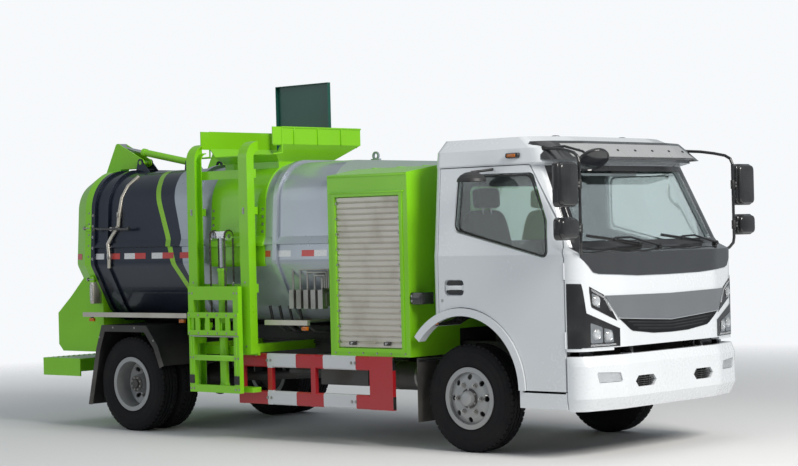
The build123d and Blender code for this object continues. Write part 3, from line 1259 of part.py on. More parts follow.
def main():
    outer = cab_body(0, CAB_BOTTOM_Z)
    inner = cab_body(CAB_WALL, CAB_BOTTOM_Z - 1)
    glass_out = cab_body(GLASS_INSET, BELT_Z - 200)
    glass_in = cab_body(GLASS_INSET + GLASS_T, BELT_Z - 201)
    lamp_zone = both(headlamp_region())
    chrome_zone = grille_region(1165, 985, 640)
    dark_zone = grille_region(983, 860, 600)
    cowl_zone = grille_region(1452, 1310, 700)
    shell = cab_shell(outer, inner)
    pockets = nose_skin(30, 30)
    for zone in (lamp_zone, chrome_zone, dark_zone, cowl_zone):
        shell -= pockets & zone
    for z in HINGE_HEIGHTS:
        shell += both(hinge_knuckles(z, False))
    lug = slab_y([(HINGE_X - 35, HINGE_Z - 20), (HINGE_X + 35, HINGE_Z - 20), (HINGE_X + 20, FLOOR_Z - FLOOR_T + 1),
                  (HINGE_X - 80, FLOOR_Z - FLOOR_T + 1)], RAIL_OUTER_Y + 8, RAIL_OUTER_Y + 28)
    shell += both(lug)
    shell += bar_y(HINGE_X, -RAIL_OUTER_Y - 20, RAIL_OUTER_Y + 20, HINGE_Z, TILT_TUBE_R)
    shell += both(flare())
    save(shell, "cab_shell")
    save(screens(glass_out, glass_in), "windscreens")
    left_door = door(outer, inner)
    left_glass = door_glass(glass_out, glass_in)
    save(left_door, "door_left")
    save(mirrored(left_door), "door_right")
    save(left_glass, "door_glass_left")
    save(mirrored(left_glass), "door_glass_right")
    save(nose_skin(6, 30) & lamp_zone, "headlamps")
    panels = (nose_skin(14, 30) & chrome_zone) + (nose_skin(4, 30) & dark_zone) + (nose_skin(5, 30) & cowl_zone)
    save(panels, "nose_panels")
    save(front_bumper(), "front_bumper")
    save(sun_visor() - outer, "sun_visor")
    save((mirror_set(1) - outer) + (mirror_set(-1) - outer) + (round_mirror() - outer), "mirrors")
    save(kerb_mirror() - mirrored(left_door), "kerb_mirror")
    save(seats(), "seats")
    save(dashboard(), "dashboard")

    for name, side in (("left", 1), ("right", -1)):
        save(tyre(FRONT_AXLE_X, FRONT_WHEEL_Y, side), f"tyre_front_{name}")
        save(front_rim(side), f"rim_front_{name}")
        pair = tyre(REAR_AXLE_X, REAR_OUTER_Y, side) + tyre(REAR_AXLE_X, REAR_INNER_Y, side)
        save(pair, f"tyres_rear_{name}")
        save(rear_rims(side), f"rims_rear_{name}")
        save(knuckle(side), f"knuckle_{name}")
    save(tie_rod(), "tie_rod")
    save(front_beam() + rear_axle(), "axles")
    save(springs(), "leaf_springs")
    save(driveline(), "driveline")
    save(ladder_frame(), "ladder_frame")
    save(subframe(), "subframe")
    save(fuel_tank() + air_tank(), "fuel_and_air_tanks")
    save(side_guard(1) + side_guard(-1), "side_guards")

    save(equipment_locker(), "equipment_locker")
    save(both(roller_shutter()), "roller_shutters")
    save(tank_shell(), "tank_shell")
    save(hopper(), "hopper")
    save(hopper_lid(), "hopper_lid")
    save(lift_frame(), "lift_frame")
    save(lift_crosshead(), "lift_crosshead")
    save(lift_chains(), "lift_chains")
    save(lift_carriage(), "lift_carriage")
    save(tailgate(), "tailgate")
    save(gate_barrels(), "gate_barrels")
    save(gate_rods(), "gate_rods")
    save(mudguards(), "mudguards")
    save(rear_step(), "rear_step")
    save(rear_lamps(), "rear_lamps")
    save(marker_rails(), "marker_rails")
    save(valve_block(), "valves_and_pipes")


main()
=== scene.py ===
"""Looks of a side-loading food-waste collection truck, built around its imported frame."""
import json
import logging
import math
from collections.abc import Callable
from dataclasses import dataclass, field
from enum import Enum

import bmesh
import bpy
from mathutils import Matrix, Vector


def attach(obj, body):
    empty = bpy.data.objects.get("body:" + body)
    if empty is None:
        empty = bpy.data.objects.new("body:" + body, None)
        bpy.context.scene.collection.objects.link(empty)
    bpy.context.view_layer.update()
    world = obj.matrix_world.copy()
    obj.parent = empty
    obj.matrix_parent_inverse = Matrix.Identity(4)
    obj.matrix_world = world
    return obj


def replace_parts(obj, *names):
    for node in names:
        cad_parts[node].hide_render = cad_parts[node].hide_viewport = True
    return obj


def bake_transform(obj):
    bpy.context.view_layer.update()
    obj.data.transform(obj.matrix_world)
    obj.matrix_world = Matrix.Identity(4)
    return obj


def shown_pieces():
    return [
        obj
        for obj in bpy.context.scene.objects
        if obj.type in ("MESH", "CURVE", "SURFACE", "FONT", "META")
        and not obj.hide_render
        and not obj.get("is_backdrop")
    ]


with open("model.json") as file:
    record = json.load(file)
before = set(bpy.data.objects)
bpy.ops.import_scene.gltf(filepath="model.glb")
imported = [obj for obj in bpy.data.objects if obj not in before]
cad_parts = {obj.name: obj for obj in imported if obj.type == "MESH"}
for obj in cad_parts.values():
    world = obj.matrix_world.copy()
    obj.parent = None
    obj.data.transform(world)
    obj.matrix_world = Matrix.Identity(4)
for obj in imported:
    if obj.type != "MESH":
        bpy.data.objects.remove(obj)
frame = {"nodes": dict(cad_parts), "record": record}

LOG = logging.getLogger("truck")
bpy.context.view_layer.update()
Colour = tuple[float, float, float]
Row = tuple[tuple[float, float], ...]
DUST: Colour = (0.30, 0.27, 0.23)
SIDES = {-1: "right", 1: "left"}


def operator(operation: str, reflected: bool = False) -> "Callable[[Sock, float | Sock], Sock]":
    """Make an arithmetic method of a socket out of one operation of the Math node."""
    def apply(self: "Sock", other: "float | Sock") -> "Sock":
        """Add the node."""
        return self.math(operation, other, self) if reflected else self.math(operation, self, other)
    return apply


class Sock:
    """A shader socket that takes part in Python arithmetic."""

    def __init__(self, shader: "Shader", socket: bpy.types.NodeSocket) -> None:
        """Keep the shader that owns the socket."""
        self.shader = shader
        self.socket = socket

    def math(self, operation: str, *values: "float | Sock") -> "Sock":
        """Add a Math node.

        Args:
            operation: The node's operation, such as ADD.
            values: Its inputs in order.

        Returns:
            The node's output.
        """
        return self.shader.node("ShaderNodeMath", {"operation": operation}, dict(enumerate(values)))

    __add__, __radd__ = operator("ADD"), operator("ADD", True)
    __sub__, __rsub__ = operator("SUBTRACT"), operator("SUBTRACT", True)
    __mul__, __rmul__ = operator("MULTIPLY"), operator("MULTIPLY", True)
    __truediv__, __rtruediv__ = operator("DIVIDE"), operator("DIVIDE", True)
    __pow__, __gt__, __lt__ = operator("POWER"), operator("GREATER_THAN"), operator("LESS_THAN")

    def clamped(self) -> "Sock":
        """Held between zero and one."""
        return self.shader.node("ShaderNodeClamp", {}, {0: self})

    def fraction(self) -> "Sock":
        """Part after the point."""
        return self.math("FRACT", self)

    def size(self) -> "Sock":
        """Absolute value."""
        return self.math("ABSOLUTE", self)

    def ramp(self, low: float, high: float) -> "Sock":
        """Rise from zero at low to one at high, smoothly held outside."""
        settings = {"interpolation_type": "SMOOTHSTEP"}
        return self.shader.node("ShaderNodeMapRange", settings, {0: self, 1: low, 2: high, 3: 0.0, 4: 1.0})


class Shader:
    """A material under construction, with one Principled node."""

    def __init__(self, name: str) -> None:
        """Start an empty node tree that ends in a Principled node."""
        self.material = bpy.data.materials.new(name)
        self.material.use_nodes = True
        self.tree = self.material.node_tree
        self.tree.nodes.clear()
        self.output = self.tree.nodes.new("ShaderNodeOutputMaterial")
        self.bsdf = self.tree.nodes.new("ShaderNodeBsdfPrincipled")
        self.tree.links.new(self.bsdf.outputs[0], self.output.inputs[0])
        self._place: Sock | None = None

    def node(self, kind: str, settings: dict | None = None, inputs: dict | None = None,
             out: int | str = 0) -> Sock:
        """Add any node.

        Args:
            kind: The node's type name.
            settings: Attributes that are set before the inputs; "stops" fills a colour ramp.
            inputs: Socket index or name to a value or another socket.
            out: Index or name of the output that is returned.

        Returns:
            The chosen output.
        """
        made = self.tree.nodes.new(kind)
        for key, value in (settings or {}).items():
            if key == "stops":
                self._fill(made.color_ramp, value)
            else:
                setattr(made, key, value)
        for key, value in (inputs or {}).items():
            self.feed(made.inputs[key], value)
        return Sock(self, made.outputs[out])

    @staticmethod
    def _fill(ramp: bpy.types.ColorRamp, stops: list[tuple[float, Colour]]) -> None:
        """Give a colour ramp its stops."""
        while len(ramp.elements) < len(stops):
            ramp.elements.new(0.5)
        for element, (place, colour) in zip(ramp.elements, stops):
            element.position = place
            element.color = (*colour, 1.0)

    def feed(self, socket: bpy.types.NodeSocket, value: object) -> None:
        """Link a socket to another or set its constant."""
        if isinstance(value, Sock):
            self.tree.links.new(value.socket, socket)
        elif isinstance(value, (tuple, list)) and len(value) == 3 and socket.type == "RGBA":
            socket.default_value = (*value, 1.0)
        else:
            socket.default_value = value

    def set(self, **values: object) -> None:
        """Feed the Principled node; underscores in a name stand for spaces."""
        for key, value in values.items():
            self.feed(self.bsdf.inputs[key.replace("_", " ")], value)

    @property
    def place(self) -> Sock:
        """Object coordinates, which are the truck's own frame in metres."""
        if self._place is None:
            self._place = self.node("ShaderNodeTexCoord", {}, {}, "Object")
        return self._place

    def axis(self, name: str) -> Sock:
        """One Object coordinate."""
        return self.node("ShaderNodeSeparateXYZ", {}, {0: self.place}, name)

    def noise(self, scale: float, detail: float = 4.0, stretch: Colour = (1.0, 1.0, 1.0),
              rough: float = 0.5) -> Sock:
        """Noise on Object coordinates.

        Args:
            scale: Features per metre.
            detail: Octaves.
            stretch: Factor on each axis.
            rough: Weight of the finer octaves.

        Returns:
            The noise value, about 0.3 to 0.7.
        """
        vector = self.place
        if stretch != (1.0, 1.0, 1.0):
            vector = self.node("ShaderNodeVectorMath", {"operation": "MULTIPLY"}, {0: self.place, 1: stretch})
        return self.node("ShaderNodeTexNoise", {}, {"Vector": vector, "Scale": scale, "Detail": detail,
                                                    "Roughness": rough})

    def mix(self, factor: "float | Sock", a: "Colour | Sock", b: "Colour | Sock") -> Sock:
        """Blend two colours by a factor."""
        return self.node("ShaderNodeMix", {"data_type": "RGBA"}, {0: factor, 6: a, 7: b}, 2)

    def bump(self, height: Sock, strength: float, distance: float) -> None:
        """Feed the Normal from a height."""
        made = self.node("ShaderNodeBump", {}, {"Strength": strength, "Distance": distance, "Height": height})
        self.set(Normal=made)

    def dusty(self, base: "Colour | Sock", amount: float, top: float = 1.2) -> Sock:
        """Lay road dust over a colour, thicker towards the ground.

        Args:
            base: The clean colour.
            amount: Strength of the dust at the ground.
            top: Height where the dust ends, in metres.

        Returns:
            The dusty colour.
        """
        low = (top - self.axis("Z")) / top
        cloud = self.noise(3.0, 6.0).ramp(0.35, 0.7)
        film = (low.clamped() * amount * (0.4 + cloud)).clamped()
        return self.mix(film, base, DUST)


@dataclass(frozen=True)
class Paint:
    """Sprayed enamel with a clear coat, faint mottling and road film."""

    name: str
    colour: Colour
    roughness: float = 0.28
    metallic: float = 0.0
    coat: float = 0.6
    dust: float = 0.12
    mottle: float = 0.06

    def body_colour(self, shader: Shader) -> "Colour | Sock":
        """Colour before mottling and dust."""
        return self.colour

    def make(self) -> bpy.types.Material:
        """Build the material."""
        shader = Shader(self.name)
        base = self.body_colour(shader)
        cloud = shader.noise(2.2, 5.0).ramp(0.3, 0.7)
        darker = shader.node("ShaderNodeMix", {"data_type": "RGBA", "blend_type": "MULTIPLY"},
                             {0: cloud * self.mottle * 2.0, 6: base, 7: (0.55, 0.55, 0.55)}, 2)
        shader.set(Base_Color=shader.dusty(darker, self.dust), Metallic=self.metallic, Coat_Weight=self.coat,
                   Coat_Roughness=0.06)
        fine = shader.noise(40.0, 3.0)
        shader.set(Roughness=(self.roughness + (fine - 0.5) * 0.16 + cloud * 0.05).clamped())
        shader.bump(shader.noise(420.0, 2.0), 0.06, 0.0004)
        return shader.material


@dataclass(frozen=True)
class TankPaint(Paint):
    """Silver front, blue-black rear and a green stripe that leans towards the back.

    The rows of points give the boundary's and the stripe's x at a height, in metres.
    """

    dark: Colour = (0.035, 0.045, 0.07)
    stripe: Colour = (0.30, 0.62, 0.04)
    edge_points: Row = ()
    stripe_points: Row = ()
    stripe_half: float = 0.03

    @staticmethod
    def curve(height: Sock, points: Row) -> Sock:
        """Place along the truck at each height, through (x, z) points."""
        place: "float | Sock" = points[0][0]
        for (x0, z0), (x1, z1) in zip(points, points[1:]):
            share = ((height - z0) / (z1 - z0)).clamped()
            place = share * (x1 - x0) + place
        return place

    def body_colour(self, shader: Shader) -> Sock:
        """Three zones along the tank, their borders bowed with height."""
        height = shader.axis("Z")
        along = shader.axis("X")
        body = shader.mix(along < self.curve(height, self.edge_points), self.colour, self.dark)
        band = (along - self.curve(height, self.stripe_points)).size() < self.stripe_half
        return shader.mix(band, body, self.stripe)


@dataclass(frozen=True)
class CabPaint(Paint):
    """White outside, grey trim inside the cab and black under the floor and in the wheel arches."""

    trim: Colour = (0.16, 0.16, 0.165)
    under: Colour = (0.015, 0.015, 0.016)
    under_z: float = 1.085
    halves: Row = ((1.50, 0.955), (2.10, 0.905), (2.29, 0.80))
    fronts: Row = ((1.46, 2.965), (2.10, 2.60), (2.15, 2.66), (2.27, 2.50))

    def body_colour(self, shader: Shader) -> Sock:
        """Outer colour with the trim and the underside told apart by place."""
        x, y, z = (shader.axis(name) for name in "XYZ")
        wide = y.size()
        bowed = x + ((wide - 0.58) / 0.40).clamped() * 0.15
        inside = (wide < TankPaint.curve(z, self.swapped(self.halves))) * (x > 1.635)
        inside = inside * (bowed < TankPaint.curve(z, self.swapped(self.fronts))) * (z < 2.262)
        low = (z < self.under_z) * (wide < 0.978) * (x > 1.605) * (bowed < 2.99)
        return shader.mix(low, shader.mix(inside, self.colour, self.trim), self.under)

    @staticmethod
    def swapped(points: Row) -> Row:
        """Points of (height, value) as (value, height)."""
        return tuple((value, height) for height, value in points)


@dataclass(frozen=True)
class BandedPaint(Paint):
    """Paint with patches of a second colour between pairs of x, at some heights only."""

    patch: Colour = (0.62, 0.64, 0.67)
    spans: Row = ()
    heights: Row = ()

    @staticmethod
    def within(place: Sock, spans: Row) -> Sock:
        """One where a place lies in any of the spans."""
        first, *others = [(place > low) * (place < high) for low, high in spans]
        for inside in others:
            first = first + inside
        return first

    def body_colour(self, shader: Shader) -> Sock:
        """First colour with the patches over it."""
        mask = self.within(shader.axis("X"), self.spans) * self.within(shader.axis("Z"), self.heights)
        return shader.mix(mask, self.colour, self.patch)


@dataclass(frozen=True)
class PatchPaint(Paint):
    """Paint with coloured patches on the step's rear face: lamps, tape and a blank plate."""

    rear_x: float = -3.079
    lamps: tuple[tuple[float, Colour], ...] = ((0.865, (0.75, 0.20, 0.01)), (0.780, (0.55, 0.01, 0.01)),
                                               (0.695, (0.80, 0.80, 0.80)))
    lamp_half: tuple[float, float] = (0.0385, 0.040)
    lamp_z: float = 0.5225
    tape: tuple[tuple[float, Colour], ...] = ((0.570, (0.62, 0.015, 0.01)), (0.430, (0.78, 0.79, 0.80)),
                                              (0.290, (0.62, 0.015, 0.01)))
    tape_half: tuple[float, float] = (0.070, 0.025)
    plate: tuple[float, float] = (0.205, 0.062)

    def body_colour(self, shader: Shader) -> Sock:
        """Green with each patch laid over it."""
        wide = shader.axis("Y").size()
        tall = (shader.axis("Z") - self.lamp_z).size()
        rear = shader.axis("X") < self.rear_x
        colour: "Colour | Sock" = self.colour
        for rows, half in ((self.lamps, self.lamp_half), (self.tape, self.tape_half),
                           (((0.0, (0.70, 0.70, 0.69)),), self.plate)):
            for middle, tint in rows:
                mask = ((wide - middle).size() < half[0]) * (tall < half[1]) * rear
                colour = shader.mix(mask, colour, tint)
        return colour


@dataclass(frozen=True)
class Plastic:
    """Moulded plastic with a fine grain."""

    name: str
    colour: Colour
    roughness: float = 0.5
    grain: float = 0.25
    dust: float = 0.15
    metallic: float = 0.0
    coat: float = 0.0
    mottle: float = 0.5

    def tone(self, shader: Shader) -> "Colour | Sock":
        """Colour before clouding and dust."""
        return self.colour

    def make(self) -> bpy.types.Material:
        """Build the material."""
        shader = Shader(self.name)
        cloud = shader.noise(5.0, 5.0).ramp(0.3, 0.7)
        base = self.tone(shader)
        pale = shader.mix(0.03, base, (1.0, 1.0, 1.0))
        shader.set(Base_Color=shader.dusty(shader.mix(cloud * self.mottle, base, pale), self.dust),
                   Metallic=self.metallic, Coat_Weight=self.coat,
                   Roughness=(self.roughness + (cloud - 0.5) * 0.12).clamped())
        grain = shader.node("ShaderNodeTexVoronoi", {}, {"Vector": shader.place, "Scale": 900.0})
        shader.bump(grain + shader.noise(150.0, 3.0) * 0.6, self.grain, 0.0006)
        return shader.material


@dataclass(frozen=True)
class NosePlastic(Plastic):
    """Nose panels: silver band, near-black slot under it and a grey panel under the windscreen."""

    dark: Colour = (0.010, 0.010, 0.011)
    panel: Colour = (0.13, 0.133, 0.138)
    panel_z: float = 1.25
    slot: Row = ((0.0, 0.9605), (0.355, 0.9805), (0.640, 0.9975))

    def tone(self, shader: Shader) -> Sock:
        """Colour of each of the three panels, told apart by height."""
        height = shader.axis("Z")
        wide = shader.axis("Y").size()
        top: "float | Sock" = self.slot[0][1]
        for (y0, z0), (y1, z1) in zip(self.slot, self.slot[1:]):
            top = ((wide - y0) / (y1 - y0)).clamped() * (z1 - z0) + top
        body = shader.mix(height < top, self.colour, self.dark)
        return shader.mix(height > self.panel_z, body, self.panel)


@dataclass(frozen=True)
class Metal:
    """Bare metal with drawn streaks, tarnish and a little oil or dust."""

    name: str
    colour: Colour
    roughness: float = 0.35
    streak: Colour = (4.0, 4.0, 60.0)
    tarnish: Colour = (0.25, 0.22, 0.18)
    worn: float = 0.3
    dust: float = 0.15
    metallic: float = 1.0

    def make(self) -> bpy.types.Material:
        """Build the material."""
        shader = Shader(self.name)
        lines = shader.noise(6.0, 6.0, self.streak, 0.65)
        cloud = shader.noise(4.0, 6.0).ramp(0.42, 0.72)
        colour = shader.mix(cloud * self.worn, self.colour, self.tarnish)
        shader.set(Base_Color=shader.dusty(colour, self.dust), Metallic=self.metallic,
                   Roughness=(self.roughness + (lines - 0.5) * 0.35 + cloud * 0.12).clamped())
        shader.bump(lines, 0.12, 0.0006)
        return shader.material


@dataclass(frozen=True)
class Rubber:
    """Tyre rubber: dull, greyed by dust, with fine ribs round the wheel's axis."""

    name: str
    colour: Colour = (0.008, 0.008, 0.010)
    roughness: float = 0.78

    def make(self) -> bpy.types.Material:
        """Build the material."""
        shader = Shader(self.name)
        cloud = shader.noise(7.0, 7.0).ramp(0.35, 0.75)
        colour = shader.mix(cloud * 0.30, self.colour, (0.035, 0.033, 0.030))
        shader.set(Base_Color=colour, Roughness=(self.roughness + (cloud - 0.5) * 0.15).clamped(),
                   Specular_IOR_Level=0.2)
        shader.bump(shader.noise(260.0, 4.0), 0.25, 0.0012)
        return shader.material


@dataclass(frozen=True)
class Glass:
    """Clear or tinted glazing under a thin film of dust."""

    name: str
    tint: Colour = (0.78, 0.86, 0.84)
    roughness: float = 0.02
    film: float = 0.05
    silver: float = 0.0

    def make(self) -> bpy.types.Material:
        """Build the material."""
        shader = Shader(self.name)
        cloud = shader.noise(3.0, 6.0).ramp(0.4, 0.7)
        shader.set(Base_Color=shader.mix(cloud * self.film, self.tint, (0.5, 0.5, 0.48)), IOR=1.45,
                   Transmission_Weight=1.0, Metallic=self.silver,
                   Roughness=(self.roughness + cloud * self.film * 0.4).clamped())
        return shader.material


@dataclass(frozen=True)
class Cloth:
    """Woven seat cloth: two crossing wave patterns under a speckle."""

    name: str
    colour: Colour
    accent: Colour
    pitch: float = 500.0

    def make(self) -> bpy.types.Material:
        """Build the material."""
        shader = Shader(self.name)
        waves = []
        for direction in ("X", "Y", "Z"):
            waves.append(shader.node("ShaderNodeTexWave", {"bands_direction": direction},
                                     {"Vector": shader.place, "Scale": self.pitch, "Distortion": 1.2}, 1))
        weave = waves[0] * waves[1] + waves[2] * 0.5
        speckle = shader.noise(60.0, 5.0).ramp(0.45, 0.62)
        shader.set(Base_Color=shader.mix(speckle * 0.6, self.colour, self.accent), Roughness=0.92,
                   Sheen_Weight=0.4)
        shader.bump(weave, 0.35, 0.0008)
        return shader.material


@dataclass(frozen=True)
class Lamp:
    """Lamp lens: coloured clear plastic with moulded flutes."""

    name: str
    colour: Colour
    roughness: float = 0.12
    clear: float = 0.6
    flutes: float = 90.0

    def make(self) -> bpy.types.Material:
        """Build the material."""
        shader = Shader(self.name)
        flutes = (shader.axis("Z") * self.flutes).fraction()
        tint = shader.mix(shader.noise(30.0, 3.0) * 0.3, self.colour, tuple(c * 0.6 for c in self.colour))
        shader.set(Base_Color=tint, Roughness=(self.roughness + flutes * 0.05).clamped(), IOR=1.46,
                   Transmission_Weight=self.clear, Coat_Weight=0.5)
        shader.bump((flutes - 0.5).size() + shader.noise(200.0, 2.0) * 0.2, 0.3, 0.0015)
        return shader.material


@dataclass(frozen=True)
class Tape:
    """Retroreflective tape with a honeycomb of cells."""

    name: str
    colour: Colour

    def make(self) -> bpy.types.Material:
        """Build the material."""
        shader = Shader(self.name)
        cells = shader.node("ShaderNodeTexVoronoi", {"feature": "DISTANCE_TO_EDGE"},
                            {"Vector": shader.place, "Scale": 260.0})
        shaded = shader.mix((cells < 0.06) * 0.35, self.colour, (0.3, 0.3, 0.3))
        shader.set(Base_Color=shader.dusty(shaded, 0.1), Roughness=0.25 + cells.ramp(0.0, 0.2) * 0.1, Coat_Weight=0.5)
        shader.bump(cells.ramp(0.0, 0.1), 0.2, 0.0004)
        return shader.material


class Look(Enum):
    """The truck's finishes."""

    CAB = CabPaint("cab_white", (0.74, 0.77, 0.80), 0.22, coat=0.9, dust=0.06, mottle=0.02)
    BUMPER = BandedPaint("bumper_white", (0.74, 0.77, 0.80), 0.24, coat=0.8, dust=0.06, mottle=0.02,
                         patch=(0.015, 0.015, 0.016), spans=((2.80, 3.10),), heights=((0.737, 0.90),))
    GREEN = Paint("lime_green", (0.235, 0.63, 0.009), 0.30, coat=0.35, dust=0.03, mottle=0.05)
    STEP = PatchPaint("step_green", (0.235, 0.63, 0.009), 0.30, coat=0.35, dust=0.03, mottle=0.05)
    LID = Paint("lid_dark_green", (0.006, 0.085, 0.062), 0.38, coat=0.3, dust=0.05)
    TANK = TankPaint("tank_silver_and_blue", (0.42, 0.46, 0.51), 0.30, metallic=0.45, coat=0.5, dust=0.06,
                     dark=(0.016, 0.023, 0.042),
                     edge_points=((-1.100, 0.95), (-1.108, 1.122), (-1.176, 1.669), (-1.315, 2.136), (-1.38, 2.25)),
                     stripe_points=((-1.120, 0.95), (-1.158, 1.122), (-1.290, 1.503), (-1.345, 1.672),
                                    (-1.525, 2.118), (-1.61, 2.25)))
    BLACK = Paint("chassis_black", (0.012, 0.012, 0.013), 0.5, coat=0.05, dust=0.16)
    GUARD = BandedPaint("guard_red_and_white", (0.44, 0.006, 0.014), 0.35, coat=0.4, dust=0.06,
                        spans=((-0.16, 0.165), (0.465, 0.815)), heights=((0.285, 0.405), (0.585, 0.705)))
    RIM = Paint("rim_grey", (0.36, 0.37, 0.38), 0.42, metallic=0.35, coat=0.2, dust=0.22)
    TYRE = Rubber("tyre_rubber")
    GLASS = Glass("cab_glass")
    SCREEN_GLASS = Glass("windscreen_glass", (0.86, 0.93, 0.93), 0.03, silver=0.30)
    TRIM = Plastic("black_trim", (0.014, 0.014, 0.015), 0.45, 0.18, 0.08)
    FLAP = Plastic("black_rubber_sheet", (0.02, 0.02, 0.02), 0.7, 0.35, 0.35)
    DASH = Plastic("dash_grey", (0.055, 0.055, 0.058), 0.6, 0.3, 0.0)
    NOSE = NosePlastic("nose_metallic_grey", (0.42, 0.43, 0.44), 0.16, 0.04, 0.0, metallic=0.8, coat=0.6, mottle=0.1)
    HOUSING = Plastic("lamp_housing_black", (0.01, 0.01, 0.011), 0.22, 0.05, 0.02, coat=0.6)
    SEAT = Cloth("seat_cloth", (0.055, 0.055, 0.06), (0.15, 0.14, 0.14))
    SPRING = Paint("spring_black", (0.02, 0.02, 0.02), 0.55, metallic=0.3, coat=0.0, dust=0.4)
    CAST = Metal("cast_grey", (0.12, 0.12, 0.125), 0.62, (1.0, 1.0, 1.0), (0.10, 0.07, 0.045), 0.5, 0.35, 0.7)
    ALUMINIUM = Metal("brushed_aluminium", (0.60, 0.60, 0.60), 0.42, (4.0, 60.0, 60.0), (0.35, 0.33, 0.30), 0.3)
    SATIN = Metal("satin_aluminium", (0.62, 0.585, 0.52), 0.45, (60.0, 4.0, 60.0), (0.42, 0.38, 0.32), 0.4, 0.08)
    CHAIN = Metal("oiled_chain", (0.22, 0.20, 0.18), 0.5, (20.0, 20.0, 20.0), (0.10, 0.07, 0.05), 0.7, 0.1)
    CHROME = Metal("polished_rod", (0.78, 0.79, 0.80), 0.12, (60.0, 60.0, 4.0), (0.5, 0.5, 0.5), 0.2, 0.05)
    RED_LAMP = Lamp("red_lamp", (0.55, 0.01, 0.01))
    AMBER = Lamp("amber_lamp", (0.75, 0.20, 0.01), clear=0.35)
    LENS = Lamp("clear_lens", (0.82, 0.84, 0.86), 0.06, 0.75)
    MIRROR = Metal("mirror_silver", (0.80, 0.82, 0.83), 0.03, (2.0, 2.0, 2.0), (0.6, 0.6, 0.6), 0.1, 0.0)
    SCREEN = Plastic("dark_display", (0.01, 0.012, 0.016), 0.12, 0.02, 0.0, coat=0.8)
    VISOR_STRIP = Plastic("visor_silver_grey", (0.52, 0.525, 0.53), 0.28, 0.05, 0.02, metallic=0.4, coat=0.5)
    VISOR = Plastic("visor_dark_grey", (0.035, 0.036, 0.038), 0.25, 0.05, 0.02, coat=0.6)
    PIPES = Metal("valve_and_pipe_grey", (0.40, 0.39, 0.37), 0.42, (20.0, 20.0, 20.0), (0.16, 0.15, 0.13), 0.5, 0.1)
    NUT = Metal("zinc_steel", (0.45, 0.45, 0.44), 0.38, (20.0, 20.0, 20.0), (0.22, 0.18, 0.13), 0.4, 0.15)
    HUB = Paint("hub_dark", (0.05, 0.05, 0.052), 0.45, metallic=0.5, coat=0.1, dust=0.2)
    SEAL = Plastic("seal_rubber", (0.012, 0.012, 0.012), 0.55, 0.15, 0.05)
    HOSE = Plastic("hose_black", (0.014, 0.014, 0.015), 0.5, 0.3, 0.15)
    TAPE_RED = Tape("tape_red", (0.62, 0.015, 0.01))
    TAPE_WHITE = Tape("tape_white", (0.78, 0.79, 0.80))


class Finishes:
    """Makes each finish's material once."""

    def __init__(self) -> None:
        """Start with none made."""
        self.made: dict[Look, bpy.types.Material] = {}

    def get(self, look: Look) -> bpy.types.Material:
        """The material of a finish."""
        if look not in self.made:
            self.made[look] = look.value.make()
        return self.made[look]

    def dress(self, obj: bpy.types.Object, look: Look) -> None:
        """Give an object one finish in all its slots."""
        material = self.get(look)
        if not obj.data.materials:
            obj.data.materials.append(material)
        for index in range(len(obj.data.materials)):
            obj.data.materials[index] = material


NODE_LOOKS: dict[str, Look] = {
    "front_bumper": Look.BUMPER, "rear_step": Look.STEP, "windscreens": Look.SCREEN_GLASS,
    "valves_and_pipes": Look.PIPES, "fuel_and_air_tanks": Look.CAST,
}

SLOT_LOOKS: dict[str, Look] = {
    "cab_paint": Look.CAB, "green_paint": Look.GREEN, "lid_paint": Look.LID, "tank_paint": Look.TANK,
    "chassis_paint": Look.BLACK, "guard_paint": Look.GUARD, "rim_paint": Look.RIM, "tyre_rubber": Look.TYRE,
    "glass": Look.GLASS, "black_plastic": Look.TRIM, "dash_plastic": Look.DASH, "seat_fabric": Look.SEAT,
    "nose_trim": Look.NOSE, "lamp_housing": Look.HOUSING, "lamp_lens": Look.RED_LAMP,
    "spring_steel": Look.SPRING, "cast_metal": Look.CAST, "tank_aluminium": Look.ALUMINIUM,
    "bare_aluminium": Look.SATIN, "shutter_aluminium": Look.SATIN, "chain_steel": Look.CHAIN,
    "rod_steel": Look.CHROME,
}


@dataclass(frozen=True)
class Bolt:
    """A hexagon head's sizes: half width over the corners, height and washer radius."""

    radius: float = 0.009
    height: float = 0.007
    washer: float = 0.013


SMALL_BOLT = Bolt(0.006, 0.005, 0.009)
WHEEL_NUT = Bolt(0.017, 0.022, 0.021)


